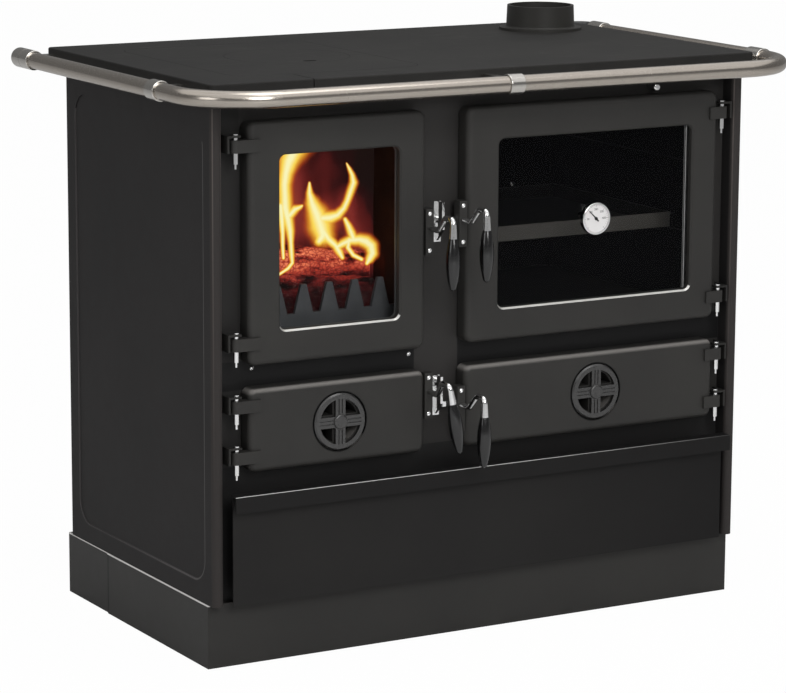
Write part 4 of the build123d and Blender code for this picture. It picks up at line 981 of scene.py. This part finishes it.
# %% The flames of this fire and the glow behind them
tongues = [
    [(-3, 565, 5), (-4, 578, 7), (-5, 595, 7), (-6, 612, 11), (-9, 629, 14), (-13, 646, 17), (-14, 680, 17),
     (-12, 697, 19), (-8, 714, 25), (0, 731, 30), (10, 749, 35)],
    [(-16, 572, 4), (-17, 591, 5), (-17, 608, 6), (-18, 625, 9), (-20, 649, 11)],
    [(-7, 635, 12), (1, 644, 11), (8, 647, 7), (11, 649, 4)],
    [(-3, 565, 5), (-9, 557, 5), (-16, 552, 4), (-22, 548, 4)],
    [(22, 683, 3), (22, 667, 9), (26, 652, 18), (33, 636, 27), (38, 620, 33), (42, 606, 27), (36, 597, 13)],
    [(42, 612, 17), (50, 600, 14), (60, 591, 11), (66, 581, 10), (70, 573, 6)],
    [(41, 631, 19), (52, 632, 17), (63, 636, 13), (72, 646, 10), (77, 657, 9), (82, 672, 10), (86, 684, 10),
     (84, 695, 7), (80, 704, 5), (76, 712, 2)],
    [(74, 630, 6), (79, 620, 9), (83, 610, 11), (86, 602, 11)],
    [(63, 589, 9), (71, 594, 12), (82, 599, 13), (95, 600, 15), (105, 597, 16), (112, 591, 15),
     (114, 580, 13), (110, 572, 10), (106, 565, 5)],
    [(80, 600, 9), (78, 588, 7), (86, 577, 6), (98, 571, 5)],
]
flame_sheet("flames", flame_yellow, (-262, -109), (-48, 132), (525, 776), tongues, size=(220, 260))
warmth = [
    [(0, 600, 150), (10, 650, 130)],
    [(24, 701, 66), (34, 652, 70), (50, 600, 80)],
    [(59, 626, 60), (99, 616, 64), (119, 611, 50)],
    [(115, 634, 44), (122, 604, 50), (126, 575, 50)],
    [(31, 548, 52), (91, 557, 52), (133, 549, 48)],
]
flame_sheet("fire_glow", glow_red, (-240, 10), (-60, 200), (470, 776), warmth, size=(90, 110))

# %% [markdown]
# The stage is a plain white floor under a white studio sky. The camera and shiny things should see a
# clean white, while the light itself stays at a plain level. So the sky is white only to the rays that
# look at it, and the floor adds a share of its own white to what it catches, which keeps a soft shadow.

# %% Rays that look at the background
def looking(tree):
    """1 for rays from the camera and through glass, else 0."""
    straight = tree.node("ShaderNodeLightPath", output="Is Camera Ray")
    through = tree.node("ShaderNodeLightPath", output="Is Transmission Ray")
    return (straight + through).held()


# %% Floor
def white_floor(half, own_white):
    """Large square whose look is a share of plain white over a lit, nearly white surface.

    It lies half a millimetre under the stove's feet, so that the two never share a plane.
    """
    look = Finish("floor_white", Roughness=1.0, Specular_IOR_Level=0.0)
    dust_tones = [(0.3, (0.93, 0.93, 0.93, 1)), (0.7, (0.95, 0.95, 0.95, 1))]
    look.feed("Base Color", look.ramp(look.noise(3.0), dust_tones))
    glow = look.node("ShaderNodeEmission", inputs={"Color": (1, 1, 1, 1), "Strength": 1})
    lit = Signal(look, look.shader.outputs["BSDF"])
    mixed = look.node("ShaderNodeMixShader", inputs={0: looking(look) * own_white, 1: lit, 2: glow})
    look.put(look.surface, mixed)
    x, y = np.meshgrid((-half, half), (-half, half))
    mesh = bpy.data.meshes.new("floor")
    spots = np.stack((x.ravel(), y.ravel(), np.full(4, -0.0005)), axis=-1)
    mesh.from_pydata(spots.tolist(), [], [(0, 1, 3, 2)])
    mesh.materials.append(look.material)
    floor = into_scene("floor", mesh)
    return floor


white_floor(half=60.0, own_white=0.98)
print("floor laid")

# %% Sky
def studio_sky(level, mirrored):
    """White to the rays that look at it, another level to shiny things and a level of light to the rest."""
    world = bpy.data.worlds.new("studio")
    world.use_nodes = True
    sky = Tree(world.node_tree)
    seen = looking(sky)
    shiny = sky.node("ShaderNodeLightPath", output="Is Glossy Ray")
    strength = seen + (1 - seen) * (shiny * mirrored + (1 - shiny) * level)
    background = sky.node("ShaderNodeBackground", inputs={"Color": (1, 1, 1, 1), "Strength": strength})
    sky.put(sky.tree.nodes.new("ShaderNodeOutputWorld").inputs["Surface"], background)
    bpy.context.scene.world = world
    return world


print("sky", studio_sky(level=0.42, mirrored=0.22).name)

# %% [markdown]
# The photograph has the soft light of a studio. Square lamps give it: a key from the front, one from
# above and a weak one from the left. The polished rail also shows a broad bright band along its top, the
# reflection of a large white panel. A lamp of that size would wash out the dark paint, so the panel is a
# card that lights no matt surface and shows only in reflections.

# %% Soft lamps
def soft_lamp(name, place, target, width, power):
    """Square lamp at a place, turned to a target, its width in metres and its power in watts."""
    lamp = into_scene(name, bpy.data.lights.new(name, "AREA"))
    lamp.data.size = width
    lamp.data.energy = power
    place, target = np.array(place, float), np.array(target, float)
    back = (place - target) / np.linalg.norm(place - target)
    right = np.cross((0, 0, 1.0), back)
    right /= np.linalg.norm(right)
    matrix = np.eye(4)
    matrix[:3, :4] = np.column_stack((right, np.cross(back, right), back, place))
    lamp.matrix_world = matrix.T.tolist()
    return lamp


card = soft_lamp("overhead_card", (0.0, -1.4, 4.2), (0, -1.39, 0), width=11.0, power=330)
card.visible_diffuse = False
soft_lamp("key_lamp", (-0.6, -4.2, 2.6), (0, 0, 0.5), width=2.0, power=95)
soft_lamp("top_lamp", (0.2, -0.6, 3.2), (0, 0, 0.8), width=1.6, power=22)
soft_lamp("side_lamp", (-4.0, -1.0, 1.6), (0, 0, 0.4), width=1.6, power=18)
